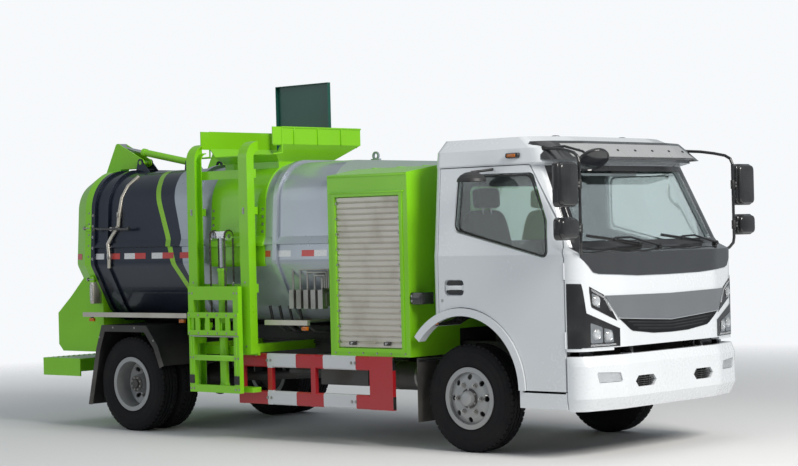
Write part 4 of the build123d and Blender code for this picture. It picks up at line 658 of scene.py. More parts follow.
class Piece:
    """One visible mesh under construction, in metres and in the truck's frame."""

    def __init__(self, name: str, *looks: Look) -> None:
        """Start an empty mesh with one slot for each finish."""
        self.name = name
        self.looks = looks
        self.mesh = bmesh.new()

    @staticmethod
    def turn_to(direction: Vector) -> Matrix:
        """Rotation that takes Z to a direction."""
        return Vector(direction).normalized().to_track_quat("Z", "Y").to_matrix().to_4x4()

    @staticmethod
    def _mark(verts: list, look: int) -> list:
        """Give the faces of new vertices their slot and return them."""
        faces = list({face for vert in verts for face in vert.link_faces})
        for face in faces:
            face.material_index = look
        return faces

    def box(self, corner: Colour, opposite: Colour, look: int = 0, bevel: float = 0.0,
            turn: "Matrix | None" = None) -> None:
        """Add a box.

        Args:
            corner: Any corner.
            opposite: The corner across from it.
            look: Slot of its finish.
            bevel: Width of its rounded edges.
            turn: Rotation about its own middle.
        """
        low, high = (Vector([pick(pair) for pair in zip(corner, opposite)]) for pick in (min, max))
        shape = Matrix.Diagonal((*(high - low), 1.0))
        place = Matrix.Translation((low + high) / 2) @ (turn or Matrix.Identity(4)) @ shape
        made = bmesh.ops.create_cube(self.mesh, size=1.0, matrix=place)
        self._mark(made["verts"], look)
        if bevel:
            self._round(list({edge for vert in made["verts"] for edge in vert.link_edges}), bevel, 2)

    def _round(self, edges: list, width: float, segments: int) -> None:
        """Bevel edges."""
        bmesh.ops.bevel(self.mesh, geom=edges, offset=width, offset_type="OFFSET", affect="EDGES",
                        segments=segments, profile=0.5, material=-1, clamp_overlap=True)

    def rod(self, start: Colour, end: Colour, radius: float, look: int = 0, sides: int = 16,
            tip: "float | None" = None, bevel: float = 0.0) -> None:
        """Add a round bar or a cone between two points.

        Args:
            start: Middle of its first end.
            end: Middle of its other end.
            radius: Radius at the start.
            look: Slot of its finish.
            sides: Faces round it.
            tip: Radius at the end, when it differs.
            bevel: Width of its rounded rims.
        """
        run = Vector(end) - Vector(start)
        place = Matrix.Translation((Vector(start) + Vector(end)) / 2) @ self.turn_to(run)
        made = bmesh.ops.create_cone(self.mesh, cap_ends=True, segments=sides, radius1=radius,
                                     radius2=radius if tip is None else tip, depth=run.length, matrix=place)
        faces = self._mark(made["verts"], look)
        if bevel:
            rims = {edge for face in faces if len(face.verts) == sides for edge in face.edges}
            self._round(list(rims), bevel, 2)

    def pipe(self, points: list[Colour], radius: float, look: int = 0, sides: int = 12) -> None:
        """Add a round bar through a row of points, a ball at each bend.

        Args:
            points: The row of points.
            radius: Radius.
            look: Slot of its finish.
            sides: Faces round it.
        """
        for start, end in zip(points, points[1:]):
            self.rod(start, end, radius, look, sides)
        for bend in points[1:-1]:
            made = bmesh.ops.create_uvsphere(self.mesh, u_segments=sides, v_segments=8, radius=radius,
                                             matrix=Matrix.Translation(bend))
            self._mark(made["verts"], look)

    def bolts(self, places: "list[Colour]", axis: Colour, size: Bolt = Bolt(), look: int = 0) -> None:
        """Add hexagon heads on washers.

        Args:
            places: Middles of the washers' lower faces.
            axis: Direction that the heads face.
            size: Sizes of a head.
            look: Slot of their finish.
        """
        way = Vector(axis).normalized()
        washer_t = size.height * 0.25
        for place in places:
            base = Vector(place)
            self.rod(base, base + way * washer_t, size.washer, look, 12)
            self.rod(base + way * washer_t, base + way * size.height, size.radius, look, 6, size.radius * 0.94)

    def spin(self, profile: "list[tuple[float, float]]", centre: Colour, axis: Colour, steps: int = 48,
             look: int = 0) -> list:
        """Turn a profile of (distance along the axis, radius) points about an axis.

        Args:
            profile: Open or closed row of points.
            centre: Point on the axis that distances start from.
            axis: Direction of the axis.
            steps: Sectors of a full turn.
            look: Slot of the finish.

        Returns:
            The new vertices.
        """
        way = Vector(axis).normalized()
        side = way.orthogonal().normalized()
        line = [self.mesh.verts.new(Vector(centre) + way * h + side * r) for h, r in profile]
        edges = [self.mesh.edges.new(pair) for pair in zip(line, line[1:])]
        before = set(self.mesh.verts) - set(line)
        bmesh.ops.spin(self.mesh, geom=line + edges, cent=centre, axis=way, angle=math.tau, steps=steps,
                       use_merge=True)
        made = [vert for vert in self.mesh.verts if vert not in before]
        self._mark(made, look)
        return made

    def plate(self, outline: "list[Colour]", depth: Colour, look: int = 0, corner: float = 0.0,
              bevel: float = 0.0) -> None:
        """Add a flat plate.

        Args:
            outline: Corners of one face in order.
            depth: Way and distance to the other face.
            look: Slot of its finish.
            corner: Radius of the rounded corners.
            bevel: Width of the rounded rim.
        """
        face = self._face(outline, corner)
        made = bmesh.ops.extrude_face_region(self.mesh, geom=[face])
        verts = [item for item in made["geom"] if isinstance(item, bmesh.types.BMVert)]
        bmesh.ops.translate(self.mesh, verts=verts, vec=Vector(depth))
        self._mark(verts, look)
        face.material_index = look
        if bevel:
            top = [item for item in made["geom"] if isinstance(item, bmesh.types.BMFace)]
            self._round(list({edge for cap in top for edge in cap.edges if edge.is_valid}), bevel, 2)

    def _face(self, outline: "list[Colour]", corner: float) -> bmesh.types.BMFace:
        """Face through points, its corners rounded."""
        verts = [self.mesh.verts.new(point) for point in outline]
        face = self.mesh.faces.new(verts)
        if corner:
            made = bmesh.ops.bevel(self.mesh, geom=verts, offset=corner, offset_type="OFFSET",
                                   affect="VERTICES", segments=5, profile=0.5, material=-1, clamp_overlap=True)
            ring = {vert for vert in made["verts"] if vert.is_valid}
            face = max((f for vert in ring for f in vert.link_faces), key=lambda f: f.calc_area())
        return face

    def frame(self, outline: "list[Colour]", width: float, depth: Colour, look: int = 0,
              corner: float = 0.0) -> None:
        """Add a band that runs inside an outline, such as a seal.

        Args:
            outline: Corners of its outer edge in order.
            width: Width of the band.
            depth: Way and distance that it stands up.
            look: Slot of its finish.
            corner: Radius of the rounded corners.
        """
        face = self._face(outline, corner)
        made = bmesh.ops.inset_region(self.mesh, faces=[face], thickness=width, use_even_offset=True)
        bmesh.ops.delete(self.mesh, geom=[face], context="FACES_ONLY")
        band = [item for item in made["faces"] if item.is_valid]
        self._stand(band, depth, look)

    def _stand(self, faces: list, depth: Colour, look: int) -> None:
        """Give faces their slot and a thickness."""
        for face in faces:
            face.material_index = look
        grown = bmesh.ops.extrude_face_region(self.mesh, geom=faces)
        verts = [item for item in grown["geom"] if isinstance(item, bmesh.types.BMVert)]
        bmesh.ops.translate(self.mesh, verts=verts, vec=Vector(depth))
        self._mark(verts, look)

    def ribbon(self, upper: "list[Colour]", lower: "list[Colour]", depth: Colour, look: int = 0) -> None:
        """Add a strip between two rows of points.

        Args:
            upper: First row.
            lower: Second row, as long as the first.
            depth: Way and distance that it stands up.
            look: Slot of its finish.
        """
        a = [self.mesh.verts.new(point) for point in upper]
        b = [self.mesh.verts.new(point) for point in lower]
        self._stand([self.mesh.faces.new(quad) for quad in zip(a, a[1:], b[1:], b)], depth, look)

    def done(self, store: Finishes, body: "str | None", slot: str, smooth: float = 35.0) -> bpy.types.Object:
        """Close the mesh into an object that rides a body.

        Args:
            store: The materials.
            body: Name of the body, or None to leave the object unattached.
            slot: Name of a material slot of the record; not used.
            smooth: Angle in degrees under which edges are shaded smooth.

        Returns:
            The object.
        """
        bmesh.ops.remove_doubles(self.mesh, verts=self.mesh.verts, dist=2e-6)
        bmesh.ops.recalc_face_normals(self.mesh, faces=self.mesh.faces)
        data = bpy.data.meshes.new(self.name)
        self.mesh.to_mesh(data)
        self.mesh.free()
        for look in self.looks:
            data.materials.append(store.get(look))
        data.polygons.foreach_set("use_smooth", [True] * len(data.polygons))
        data.set_sharp_from_angle(angle=math.radians(smooth))
        obj = bpy.data.objects.new(self.name, data)
        bpy.context.scene.collection.objects.link(obj)
        if body:
            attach(obj, body)
        LOG.info("%s rides %s: %d faces", self.name, body, len(data.polygons))
        return obj


def row(start: float, end: float, count: int) -> list[float]:
    """Evenly spaced numbers from start to end."""
    return [start + (end - start) * index / (count - 1) for index in range(count)]


def facing_x(x: float, ys: tuple[float, float], zs: tuple[float, float]) -> list[Colour]:
    """Corners of an upright rectangle across the truck."""
    return [(x, ys[0], zs[0]), (x, ys[1], zs[0]), (x, ys[1], zs[1]), (x, ys[0], zs[1])]


def facing_y(y: float, xs: tuple[float, float], zs: tuple[float, float]) -> list[Colour]:
    """Corners of an upright rectangle along the truck."""
    return [(xs[0], y, zs[0]), (xs[1], y, zs[0]), (xs[1], y, zs[1]), (xs[0], y, zs[1])]


def blend_through(points: Row, place: float) -> float:
    """Straight-line value at a place from (place, value) points."""
    for (a, va), (b, vb) in zip(points, points[1:]):
        if place <= b:
            return va + (vb - va) * (place - a) / (b - a)
    return points[-1][1]


@dataclass
class CabSkin:
    """Outer surface of the cab: front x and half width by height, with a bowed front."""

    fronts: Row = ((0.36, 3.045), (1.46, 3.045), (1.51, 2.94), (2.105, 2.655), (2.125, 2.75), (2.23, 2.70),
                   (2.32, 2.52))
    halves: Row = ((0.36, 1.0), (1.46, 1.0), (1.51, 0.994), (2.105, 0.942), (2.125, 0.946), (2.23, 0.930),
                   (2.32, 0.83))
    bow: float = 0.09
    flat_share: float = 0.6
    corner: float = 0.14
    corner_run: float = 0.112
    corner_side: float = 0.109

    def half(self, z: float) -> float:
        """Half width at a height."""
        return blend_through(self.halves, z)

    def front(self, y: float, z: float) -> float:
        """Front x at a place across the cab and a height."""
        return self.bowed(y, blend_through(self.fronts, z), self.half(z))

    def bowed(self, y: float, front: float, half: float) -> float:
        """Front x of a section with a given front and half width, its corners round."""
        wide = min(abs(y), half)
        if wide > half - self.corner_side:
            reach = self.corner ** 2 - (wide - half + self.corner) ** 2
            return front - self.bow - self.corner_run + math.sqrt(max(0.0, reach))
        return front - self.bow * max(0.0, wide / half - self.flat_share) / (1.0 - self.flat_share)

    def on_front(self, y: float, z: float, out: float = 0.0) -> Colour:
        """Point on the front, stood off by a distance along X."""
        return (self.front(y, z) + out, y, z)

    def on_side(self, x: float, z: float, side: int, out: float = 0.0) -> Colour:
        """Point on a side, stood off by a distance along Y."""
        return (x, side * (self.half(z) + out), z)


@dataclass
class Tyres:
    """Road tyres with grooved ribs, shoulder lugs and ringed walls.

    A wall's points are (distance from the tyre's middle plane, radius), from the bead out.
    """

    radius: float = 0.4025
    seat_half: float = 0.082
    bead_radius: float = 0.203
    tread_half: float = 0.0755
    groove: float = 0.009
    ribs: Row = ((0.0, 0.022), (-0.036, 0.026), (0.036, 0.026))
    zigzag: float = 0.0035
    lugs: int = 54
    lug_inner: float = 0.054
    lug_flare: float = 0.006
    wall: Row = ((0.089, 0.243), (0.0915, 0.246), (0.0935, 0.250), (0.0925, 0.254), (0.0965, 0.268),
                 (0.0995, 0.290), (0.1012, 0.298), (0.1012, 0.305), (0.1002, 0.307), (0.1015, 0.318),
                 (0.1015, 0.330), (0.1002, 0.343), (0.1002, 0.348), (0.0985, 0.350), (0.0955, 0.362),
                 (0.0915, 0.372), (0.085, 0.385))
    places: dict[str, tuple[str, float, tuple[float, ...]]] = field(default_factory=lambda: {
        "tyre_front_left": ("wheel_front_left", 1.88, (0.84,)),
        "tyre_front_right": ("wheel_front_right", 1.88, (-0.84,)),
        "tyres_rear_left": ("wheels_rear_left", -1.82, (0.935, 0.695)),
        "tyres_rear_right": ("wheels_rear_right", -1.82, (-0.935, -0.695))})

    def carcass(self, piece: Piece, centre: Colour) -> None:
        """Walls and the floor of the grooves, turned about the axle."""
        floor = (self.tread_half - 0.002, self.radius - self.groove)
        wall = [(self.seat_half, self.bead_radius), (self.seat_half, 0.234), *self.wall, floor]
        profile = [(-u, r) for u, r in wall] + wall[::-1]
        profile.append(profile[0])
        piece.spin(profile, centre, (0, 1, 0), 72)

    def tread(self, piece: Piece, centre: Colour) -> None:
        """Zigzag ribs round the middle and lugs along both shoulders."""
        top = self.radius - 0.0006
        low = self.radius - self.groove - 0.002
        for middle, width in self.ribs:
            start, end = middle - width / 2, middle + width / 2
            loop = [(start, low), (start, top), (end, top), (end, low), (start, low)]
            for vert in piece.spin(loop, centre, (0, 1, 0), self.lugs * 2):
                turn = math.atan2(vert.co.z - centre[2], vert.co.x - centre[0])
                step = round(turn / math.tau * self.lugs * 2)
                vert.co.y += self.zigzag * (1 if step % 2 else -1)
        width, height = self.tread_half - self.lug_inner, self.groove + 0.004
        shape = Matrix.Diagonal((math.tau * self.radius / self.lugs * 0.74, width, height, 1.0))
        for index in range(self.lugs):
            turn = Matrix.Rotation(math.tau * index / self.lugs, 4, "Y")
            for side in (-1, 1):
                middle = Matrix.Translation((0, side * (self.lug_inner + self.tread_half) / 2, 0))
                place = Matrix.Translation(centre) @ turn @ middle @ Matrix.Translation(
                    (0, 0, top - height / 2 - 0.0006))
                back = place.inverted()
                for vert in bmesh.ops.create_cube(piece.mesh, size=1.0, matrix=place @ shape)["verts"]:
                    local = back @ vert.co
                    if local.y * side > 0.0 and local.z < 0.0:
                        vert.co.y += side * self.lug_flare

    def build(self, store: Finishes) -> None:
        """Make one piece for each tyre node."""
        for node, (body, x, ys) in self.places.items():
            piece = Piece(f"{node}_treaded", Look.TYRE)
            for y in ys:
                self.carcass(piece, (x, y, self.radius))
                self.tread(piece, (x, y, self.radius))
            obj = piece.done(store, body, "tyre_rubber", 40.0)
            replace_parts(obj, node)


@dataclass(frozen=True)
class Hub:
    """What is bolted to one kind of wheel, with distances from the truck's middle plane.

    A cap is its distance, its profile of (out, radius) points, its sectors and its slot.
    """

    name: str
    body: str
    x: float
    nut_circle: float
    nut_y: float
    stud_y: float
    caps: tuple[tuple[float, Row, int, int], ...]
    ring_y: float
    ring_radius: float
    ring_count: int
    ring_bolt: Bolt
    valve_y: float


@dataclass
class WheelNuts:
    """Nuts, hub caps, hub bolts and valves on the rims."""

    axle_z: float = 0.4025
    count: int = 6
    stud_radius: float = 0.0085
    hubs: tuple[Hub, ...] = (
        Hub("wheel_nuts_front", "wheel_front", 1.88, 0.111, 0.9265, 0.959,
            ((0.926, ((0.0, 0.074), (0.010, 0.074), (0.014, 0.070), (0.014, 0.060)), 40, 1),
             (0.9615, ((0.0, 0.054), (0.012, 0.052), (0.020, 0.044), (0.024, 0.030), (0.026, 0.0)), 32, 2)),
            0.939, 0.066, 6, SMALL_BOLT, 0.918),
        Hub("wheel_nuts_rear", "wheels_rear", -1.82, 0.127, 0.824, 0.858,
            ((0.9645, ((0.0, 0.070), (0.008, 0.070), (0.010, 0.062), (0.010, 0.038), (0.024, 0.034), (0.028, 0.0)),
              40, 1),), 0.9735, 0.053, 8, Bolt(0.008, 0.008, 0.0095), 0.868))
    valve: tuple[Colour, ...] = ((0.176, -0.030, 0.030), (0.176, 0.0, 0.030), (0.160, 0.024, 0.027))

    def ring(self, x: float, y: float, radius: float, count: int, shift: float = 0.0) -> list[Colour]:
        """Points round an axle."""
        turns = [math.tau * (index + shift) / count for index in range(count)]
        return [(x + radius * math.cos(t), y, self.axle_z + radius * math.sin(t)) for t in turns]

    def build(self, store: Finishes) -> None:
        """Make one piece for each wheel."""
        for side, name in reversed(SIDES.items()):
            for hub in self.hubs:
                piece = Piece(f"{hub.name}_{name}", Look.NUT, Look.HUB, Look.RIM)
                nuts = self.ring(hub.x, side * hub.nut_y, hub.nut_circle, self.count)
                piece.bolts(nuts, (0, side, 0), WHEEL_NUT)
                for x, y, z in nuts:
                    piece.rod((x, y, z), (x, side * hub.stud_y, z), self.stud_radius, 0, 10)
                for y, profile, steps, look in hub.caps:
                    piece.spin(profile, (hub.x, side * y, self.axle_z), (0, side, 0), steps, look)
                piece.bolts(self.ring(hub.x, side * hub.ring_y, hub.ring_radius, hub.ring_count, 0.5),
                            (0, side, 0), hub.ring_bolt)
                piece.pipe([(hub.x + x, side * (hub.valve_y + y), self.axle_z + z) for x, y, z in self.valve],
                           0.0045, 0, 8)
                piece.done(store, f"{hub.body}_{name}", "rim_paint")


@dataclass
class CabTrim:
    """Seals, nose, wipers, grille, lamps, visor, mirrors and fittings that ride on the cab.

    Edges of the nose are rows of (|y|, z) points, and so are the lamps' outlines.
    """

    skin: CabSkin = field(default_factory=CabSkin)
    screen_half: Row = ((1.503, 0.925), (2.100, 0.862))
    screen_bands: Row = ((1.503, 1.546), (2.060, 2.100))
    screen_insets: tuple[float, ...] = (0.0, 0.030, 0.060, 0.088)
    screen_lift: Colour = (0.0015, 0.0, 0.0008)
    wipers: tuple[tuple[Colour, Colour], ...] = (((2.972, -0.011, 1.500), (2.880, -0.800, 1.592)),
                                                 ((2.940, 0.790, 1.505), (2.905, 0.090, 1.583)))
    slot_top: Row = ((0.0, 0.959), (0.355, 0.979), (0.640, 0.996))
    slot_low: Row = ((0.0, 0.864), (0.220, 0.868), (0.490, 0.897), (0.640, 0.996))
    slat_drops: tuple[float, ...] = (0.024, 0.046, 0.068)
    chrome_top: Row = ((0.0, 1.150), (0.758, 1.160))
    chrome_low: Row = ((0.0, 0.962), (0.355, 0.982), (0.642, 0.999), (0.756, 1.152))
    cowl_low: Row = ((0.0, 1.290), (0.400, 1.293), (0.850, 1.318), (0.958, 1.440))
    lamp_top: Row = ((0.610, 0.915), (0.925, 1.040), (0.950, 1.248), (1.0, 1.252))
    inner_top: Row = ((0.650, 0.978), (0.768, 1.166), (0.898, 1.228))
    inner_low: Row = ((0.610, 0.960), (0.884, 1.082), (0.898, 1.190))
    reflectors: tuple[Row, ...] = (((0.690, 0.826), (0.778, 0.826), (0.778, 0.930), (0.704, 0.912)),
                                   ((0.792, 0.826), (0.900, 0.826), (0.900, 0.972), (0.792, 0.936)),
                                   ((0.812, 1.072), (0.872, 1.098), (0.884, 1.182), (0.812, 1.150)))
    bulb: Row = ((0.003, 0.040), (0.010, 0.034), (0.016, 0.018), (0.018, 0.0))
    light_bars: tuple[tuple[Row, Row], ...] = (
        (((0.672, 0.818), (0.780, 0.818), (0.900, 0.820)), ((0.672, 0.804), (0.780, 0.804), (0.900, 0.804))),
        (((0.700, 1.052), (0.768, 1.154), (0.884, 1.212)), ((0.712, 1.046), (0.776, 1.142), (0.884, 1.198))))
    fog: Row = ((0.642, 0.547), (0.662, 0.608), (0.878, 0.620), (0.858, 0.547))
    vent_z: float = 0.535
    visor_edges: tuple[Colour, Colour] = ((2.140, 2.842, 0.930), (2.275, 2.690, 0.890))
    visor_shares: tuple[float, ...] = (0.0, 0.12, 0.85, 1.0)
    dome: Row = ((0.0, 0.040), (0.012, 0.036), (0.018, 0.020), (0.019, 0.0))
    mirror_x: float = 2.985
    mirror_reach: float = 1.25
    mirror_width: float = 0.220
    mirror_depth: float = 0.075
    mirror_heads: Row = ((1.790, 2.110), (1.560, 1.720))
    mirror_rim: float = 0.016
    mirror_gap: float = 0.045
    mirror_arm: tuple[Colour, ...] = (
        (2.600, 0.882, 2.224), (2.745, 0.912, 2.213), (2.850, 0.940, 2.196), (2.930, 0.970, 2.176),
        (2.970, 0.982, 2.150), (2.985, 0.985, 2.110), (2.985, 0.985, 1.540), (2.980, 0.980, 1.500),
        (2.960, 0.955, 1.465), (2.927, 0.922, 1.442))
    round_centre: Colour = (2.960, -0.790, 2.135)
    round_aim: Colour = (0.55, -0.25, -0.80)
    round_shell: Row = ((-0.030, 0.0), (-0.027, 0.050), (-0.014, 0.098), (0.0, 0.116), (0.016, 0.120),
                        (0.022, 0.118), (0.022, 0.110))
    round_glass: Row = ((0.022, 0.110), (0.016, 0.108), (0.020, 0.060), (0.022, 0.0))
    round_arm: tuple[Colour, ...] = ((2.880, -0.800, 2.190), (2.740, -0.825, 2.232), (2.540, -0.850, 2.225))
    fittings: tuple[tuple[Colour, Colour, int, float], ...] = (
        ((2.50, 0.02, 1.09), (2.66, 0.20, 1.16), 0, 0.02), ((2.645, -0.16, 2.02), (2.665, 0.16, 2.09), 1, 0.012),
        ((2.641, -0.15, 2.03), (2.647, 0.15, 2.08), 3, 0.0), ((2.600, -0.74, 2.06), (2.625, -0.26, 2.105), 0, 0.008),
        ((2.600, 0.26, 2.06), (2.625, 0.74, 2.105), 0, 0.008), ((2.560, -0.12, 1.290), (2.578, 0.10, 1.370), 2, 0.004))
    lever: tuple[Colour, ...] = ((2.52, 0.10, 1.14), (2.46, 0.12, 1.30), (2.40, 0.13, 1.42))

    def seals(self, store: Finishes) -> None:
        """Printed border round the windscreen and rubber round the rear window."""
        piece = Piece("screen_seals", Look.SEAL, Look.HOUSING)
        out = self.screen_lift[0]
        for band in self.screen_bands:
            halves = [(z, blend_through(self.screen_half, z)) for z in band]
            rows = [[self.skin.on_front(y, z, out) for y in row(-half, half, 33)] for z, half in halves]
            piece.ribbon(rows[0], rows[1], self.screen_lift, 1)
        for side in SIDES:
            rows = [[self.skin.on_front(side * (blend_through(self.screen_half, z) - inset), z, out)
                     for z in row(1.540, 2.064, 9)] for inset in self.screen_insets]
            for outer, inner in zip(rows, rows[1:]):
                piece.ribbon(outer, inner, self.screen_lift, 1)
        rear = [(1.598, -0.600, 1.560), (1.598, -0.600, 1.980), (1.598, 0.600, 1.980), (1.598, 0.600, 1.560)]
        piece.frame(rear, 0.022, (-0.0015, 0.0, 0.0), 0, 0.06)
        piece.done(store, "cab", "black_plastic")

    def nose(self, store: Finishes) -> None:
        """White nose skin, its silver, dark and grey panels, and the headlamps' glasses."""
        def sheet(piece: Piece, y0: float, y1: float, upper: "Row | float", lower: "Row | float",
                  out: float) -> None:
            """Strip on the nose from y0 to y1 between two edges or two heights."""
            edges = [edge if isinstance(edge, tuple) else ((0.0, edge), (1.0, edge)) for edge in (upper, lower)]
            rows = [[self.skin.on_front(y, blend_through(edge, abs(y)), out) for y in row(y0, y1, 41)]
                    for edge in edges]
            piece.ribbon(rows[0], rows[1], (-0.004, 0.0, 0.0))

        body = Piece("nose_skin", Look.CAB)
        sheet(body, -0.955, 0.955, 1.259, 0.789, 0.003)
        body.done(store, "cab", "cab_paint")
        panels = Piece("nose_panels_dressed", Look.NOSE)
        for half, upper, lower, out in ((0.755, self.chrome_top, self.chrome_low, 0.010),
                                        (0.638, self.slot_top, self.slot_low, 0.0065),
                                        (0.955, 1.460, self.cowl_low, 0.0065), (0.950, 1.506, 1.4595, 0.0065)):
            sheet(panels, -half, half, upper, lower, out)
        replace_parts(panels.done(store, "cab", "nose_trim"), "nose_panels")
        lamps = Piece("headlamp_glasses", Look.HOUSING)
        for side in SIDES:
            sheet(lamps, side * 0.628, side * 0.9995, self.lamp_top, 0.797, 0.0065)
            sheet(lamps, side * 0.650, side * 0.898, self.inner_top, self.inner_low, 0.0065)
        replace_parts(lamps.done(store, "cab", "lamp_housing"), "headlamps")

    def wiper_set(self, store: Finishes) -> None:
        """Two wipers parked along the foot of the windscreen."""
        piece = Piece("wipers", Look.HOUSING, Look.SEAL)
        for pivot, tip in self.wipers:
            base = Vector(pivot)
            end = Vector(tip) + Vector((0.012, 0.0, 0.0))
            piece.rod(base - Vector((0.020, 0, 0.012)), base + Vector((0.022, 0, 0.006)), 0.019, 0, 16, 0.015, 0.003)
            knee = base.lerp(end, 0.42) + Vector((0.016, 0.0, 0.030))
            middle = base.lerp(end, 0.62) + Vector((0.006, 0.0, 0.010))
            piece.pipe([base + Vector((0.014, 0, 0)), knee, middle], 0.0075, 0, 10)
            for share, rise in ((0.28, 0.004), (0.62, 0.012), (0.96, 0.004)):
                spot = base.lerp(end, share)
                piece.box(spot - Vector((0.006, 0.014, 0.008)), spot + Vector((0.012, 0.014, rise)), 0, 0.002)
            start = base.lerp(end, 0.24)
            piece.pipe([start + Vector((0.006, 0, 0.002)), end + Vector((0.006, 0, 0.002))], 0.005, 0, 8)
            blade = (Vector(end) - start).normalized().cross(Vector((1, 0, 0))) * 0.016
            piece.plate([start, end, end - blade * 0.9, start - blade * 0.9], (0.004, 0, 0), 1)
        piece.done(store, "cab", "black_plastic")

    def grille(self, store: Finishes) -> None:
        """Bright lip over the dark slot and thin slats inside it."""
        piece = Piece("grille_slats", Look.CHROME, Look.HOUSING)
        top = [(-y, z) for y, z in self.slot_top[::-1]] + list(self.slot_top[1:])
        piece.pipe([self.skin.on_front(y, z + 0.002, 0.012) for y, z in top], 0.0065, 0, 10)
        for drop in self.slat_drops:
            reach = 0.600 - drop * 2.6
            points = [self.skin.on_front(y, 0.961 - drop + 0.034 * (abs(y) / 0.64) ** 1.2, 0.003)
                      for y in row(-reach, reach, 17)]
            piece.ribbon([(x, y, z + 0.004) for x, y, z in points], [(x, y, z - 0.004) for x, y, z in points],
                         (0.006, 0, 0), 1)
        piece.done(store, "cab", "nose_trim")

    def lamp_lenses(self, store: Finishes) -> None:
        """Reflectors, bulbs and light bars of the headlamps, fog lenses and amber side lamps."""
        piece = Piece("lamp_lenses", Look.LENS, Look.CHROME, Look.AMBER, Look.HOUSING)
        for side in SIDES:
            def on(line: Row) -> list[Colour]:
                """Points on the lamp's face of this side."""
                return [self.skin.on_front(side * y, z, 0.008) for y, z in line]
            for quad in self.reflectors:
                corners = on(quad)
                piece.plate(corners[::side], (0.003, 0, 0), 1, 0.012)
                middle = sum((Vector(corner) for corner in corners), Vector()) / 4
                piece.spin(self.bulb, middle, (1, side * 0.22, 0), 28)
            for upper, lower in self.light_bars:
                piece.ribbon(on(upper), on(lower), (0.004, 0, 0), 0)
            fog = [(self.skin.bowed(y, 3.080, 1.003) - 0.012, side * y, z) for y, z in self.fog]
            piece.plate(fog[::side], (-0.006, 0, 0), 1, 0.014)
            piece.plate(fog[::side], (0.005, 0, 0), 0, 0.014)
            piece.box((1.606, side - 0.006, 0.950), (1.658, side + 0.006, 0.980), 2, 0.004)
            piece.box((1.602, side - 0.004, 0.945), (1.662, side + 0.0025, 0.985), 3, 0.002)
        piece.done(store, "cab", "lamp_housing")

    def bumper(self, store: Finishes) -> None:
        """Slats in the bumper's vents and a tow cover's seam."""
        piece = Piece("bumper_details", Look.HOUSING, Look.NUT)
        for side in SIDES:
            for z in (0.510, 0.525, 0.540, 0.555):
                inset = abs(z - self.vent_z) * 0.85
                piece.box((3.050, side * (0.246 + inset), z - 0.003), (3.066, side * (0.494 - inset), z + 0.003),
                          0, 0.001)
            for y in (0.300, 0.370, 0.440):
                piece.box((3.048, side * y - 0.003, 0.500), (3.060, side * y + 0.003, 0.570), 0, 0.001)
        piece.frame(facing_x(3.079, (-0.060, 0.060), (0.470, 0.590)), 0.0025, (0.0008, 0, 0), 0, 0.012)
        piece.done(store, "cab", "black_plastic")

    def visor(self, store: Finishes) -> None:
        """Visor shell with its pale strip and screws, marker pods and the roof's lamps."""
        piece = Piece("visor_details", Look.VISOR_STRIP, Look.HOUSING, Look.AMBER, Look.NUT, Look.VISOR)
        low, high = self.visor_edges
        rows = []
        for share in self.visor_shares:
            z, front, half = (a + (b - a) * share for a, b in zip(low, high))
            line = [(max(self.skin.bowed(y, front, half), 2.46), y, z) for y in row(-half, half, 61)]
            right, left = ([(x, side * half, z) for x in row(2.430 + 0.055 * share, line[0][0], 6)]
                           for side in (-1, 1))
            rows.append(right[:-1] + line + left[-2::-1])
        for lower, upper in zip(rows, rows[1:]):
            piece.ribbon(lower, upper, (-0.010, 0.0, 0.004), 4)
        strip = [[(x + 0.001, y, z) for x, y, z in line if abs(y) < 0.80 - 0.02 * k]
                 for k, line in enumerate(rows[1:3])]
        count = min(len(line) for line in strip)
        piece.ribbon(strip[0][:count], strip[1][:count], (0.003, 0.0, 0.003), 0)
        for y in row(-0.66, 0.66, 7):
            x, _, z = min((Vector(a).lerp(Vector(b), 0.5) for a, b in zip(strip[0], strip[1])),
                          key=lambda point: abs(point[1] - y))
            piece.bolts([(x + 0.003, y, z + 0.002)], (1.0, 0.0, 0.9), Bolt(0.009, 0.006, 0.013), 1)
        for side in SIDES:
            piece.box((2.300, side * 0.935 - 0.030, 2.160), (2.420, side * 0.935 + 0.030, 2.200), 1, 0.012)
            piece.box((2.322, side * 0.962 - 0.010, 2.168), (2.398, side * 0.962 + 0.006, 2.192), 2, 0.004)
            for x in (2.05, 2.35):
                piece.spin(self.dome, (x, side * 0.42, 2.318), (0, 0, 1), 24, 1)
        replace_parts(piece.done(store, "cab", "black_plastic"), "sun_visor")

    def mirror_faces(self, store: Finishes) -> None:
        """Silvered glasses in the mirrors' rear faces, clamps and boots on the arms."""
        piece = Piece("mirror_faces", Look.MIRROR, Look.SEAL, Look.NUT)
        face = self.mirror_x - self.mirror_depth / 2 - 0.0006
        inner, outer = self.mirror_reach - self.mirror_width, self.mirror_reach
        for side in SIDES:
            arm_y = side * (inner - self.mirror_gap)
            for low, high in self.mirror_heads:
                ys = sorted((side * (inner + self.mirror_rim), side * (outer - self.mirror_rim)))
                corners = facing_x(face, ys, (low + self.mirror_rim, high - self.mirror_rim))
                piece.plate(corners, (-0.0015, 0, 0), 0, 0.024)
                piece.frame(corners, 0.005, (-0.004, 0, 0), 1, 0.024)
                middle = (low + high) / 2
                piece.rod((self.mirror_x, arm_y, middle - 0.034), (self.mirror_x, arm_y, middle + 0.034), 0.017, 1,
                          16, bevel=0.003)
                spots = [(self.mirror_x + 0.014, arm_y + side * 0.024, middle + dz) for dz in (-0.012, 0.012)]
                piece.bolts(spots, (1, 0, 0), SMALL_BOLT, 2)
        piece.done(store, "cab", "black_plastic")

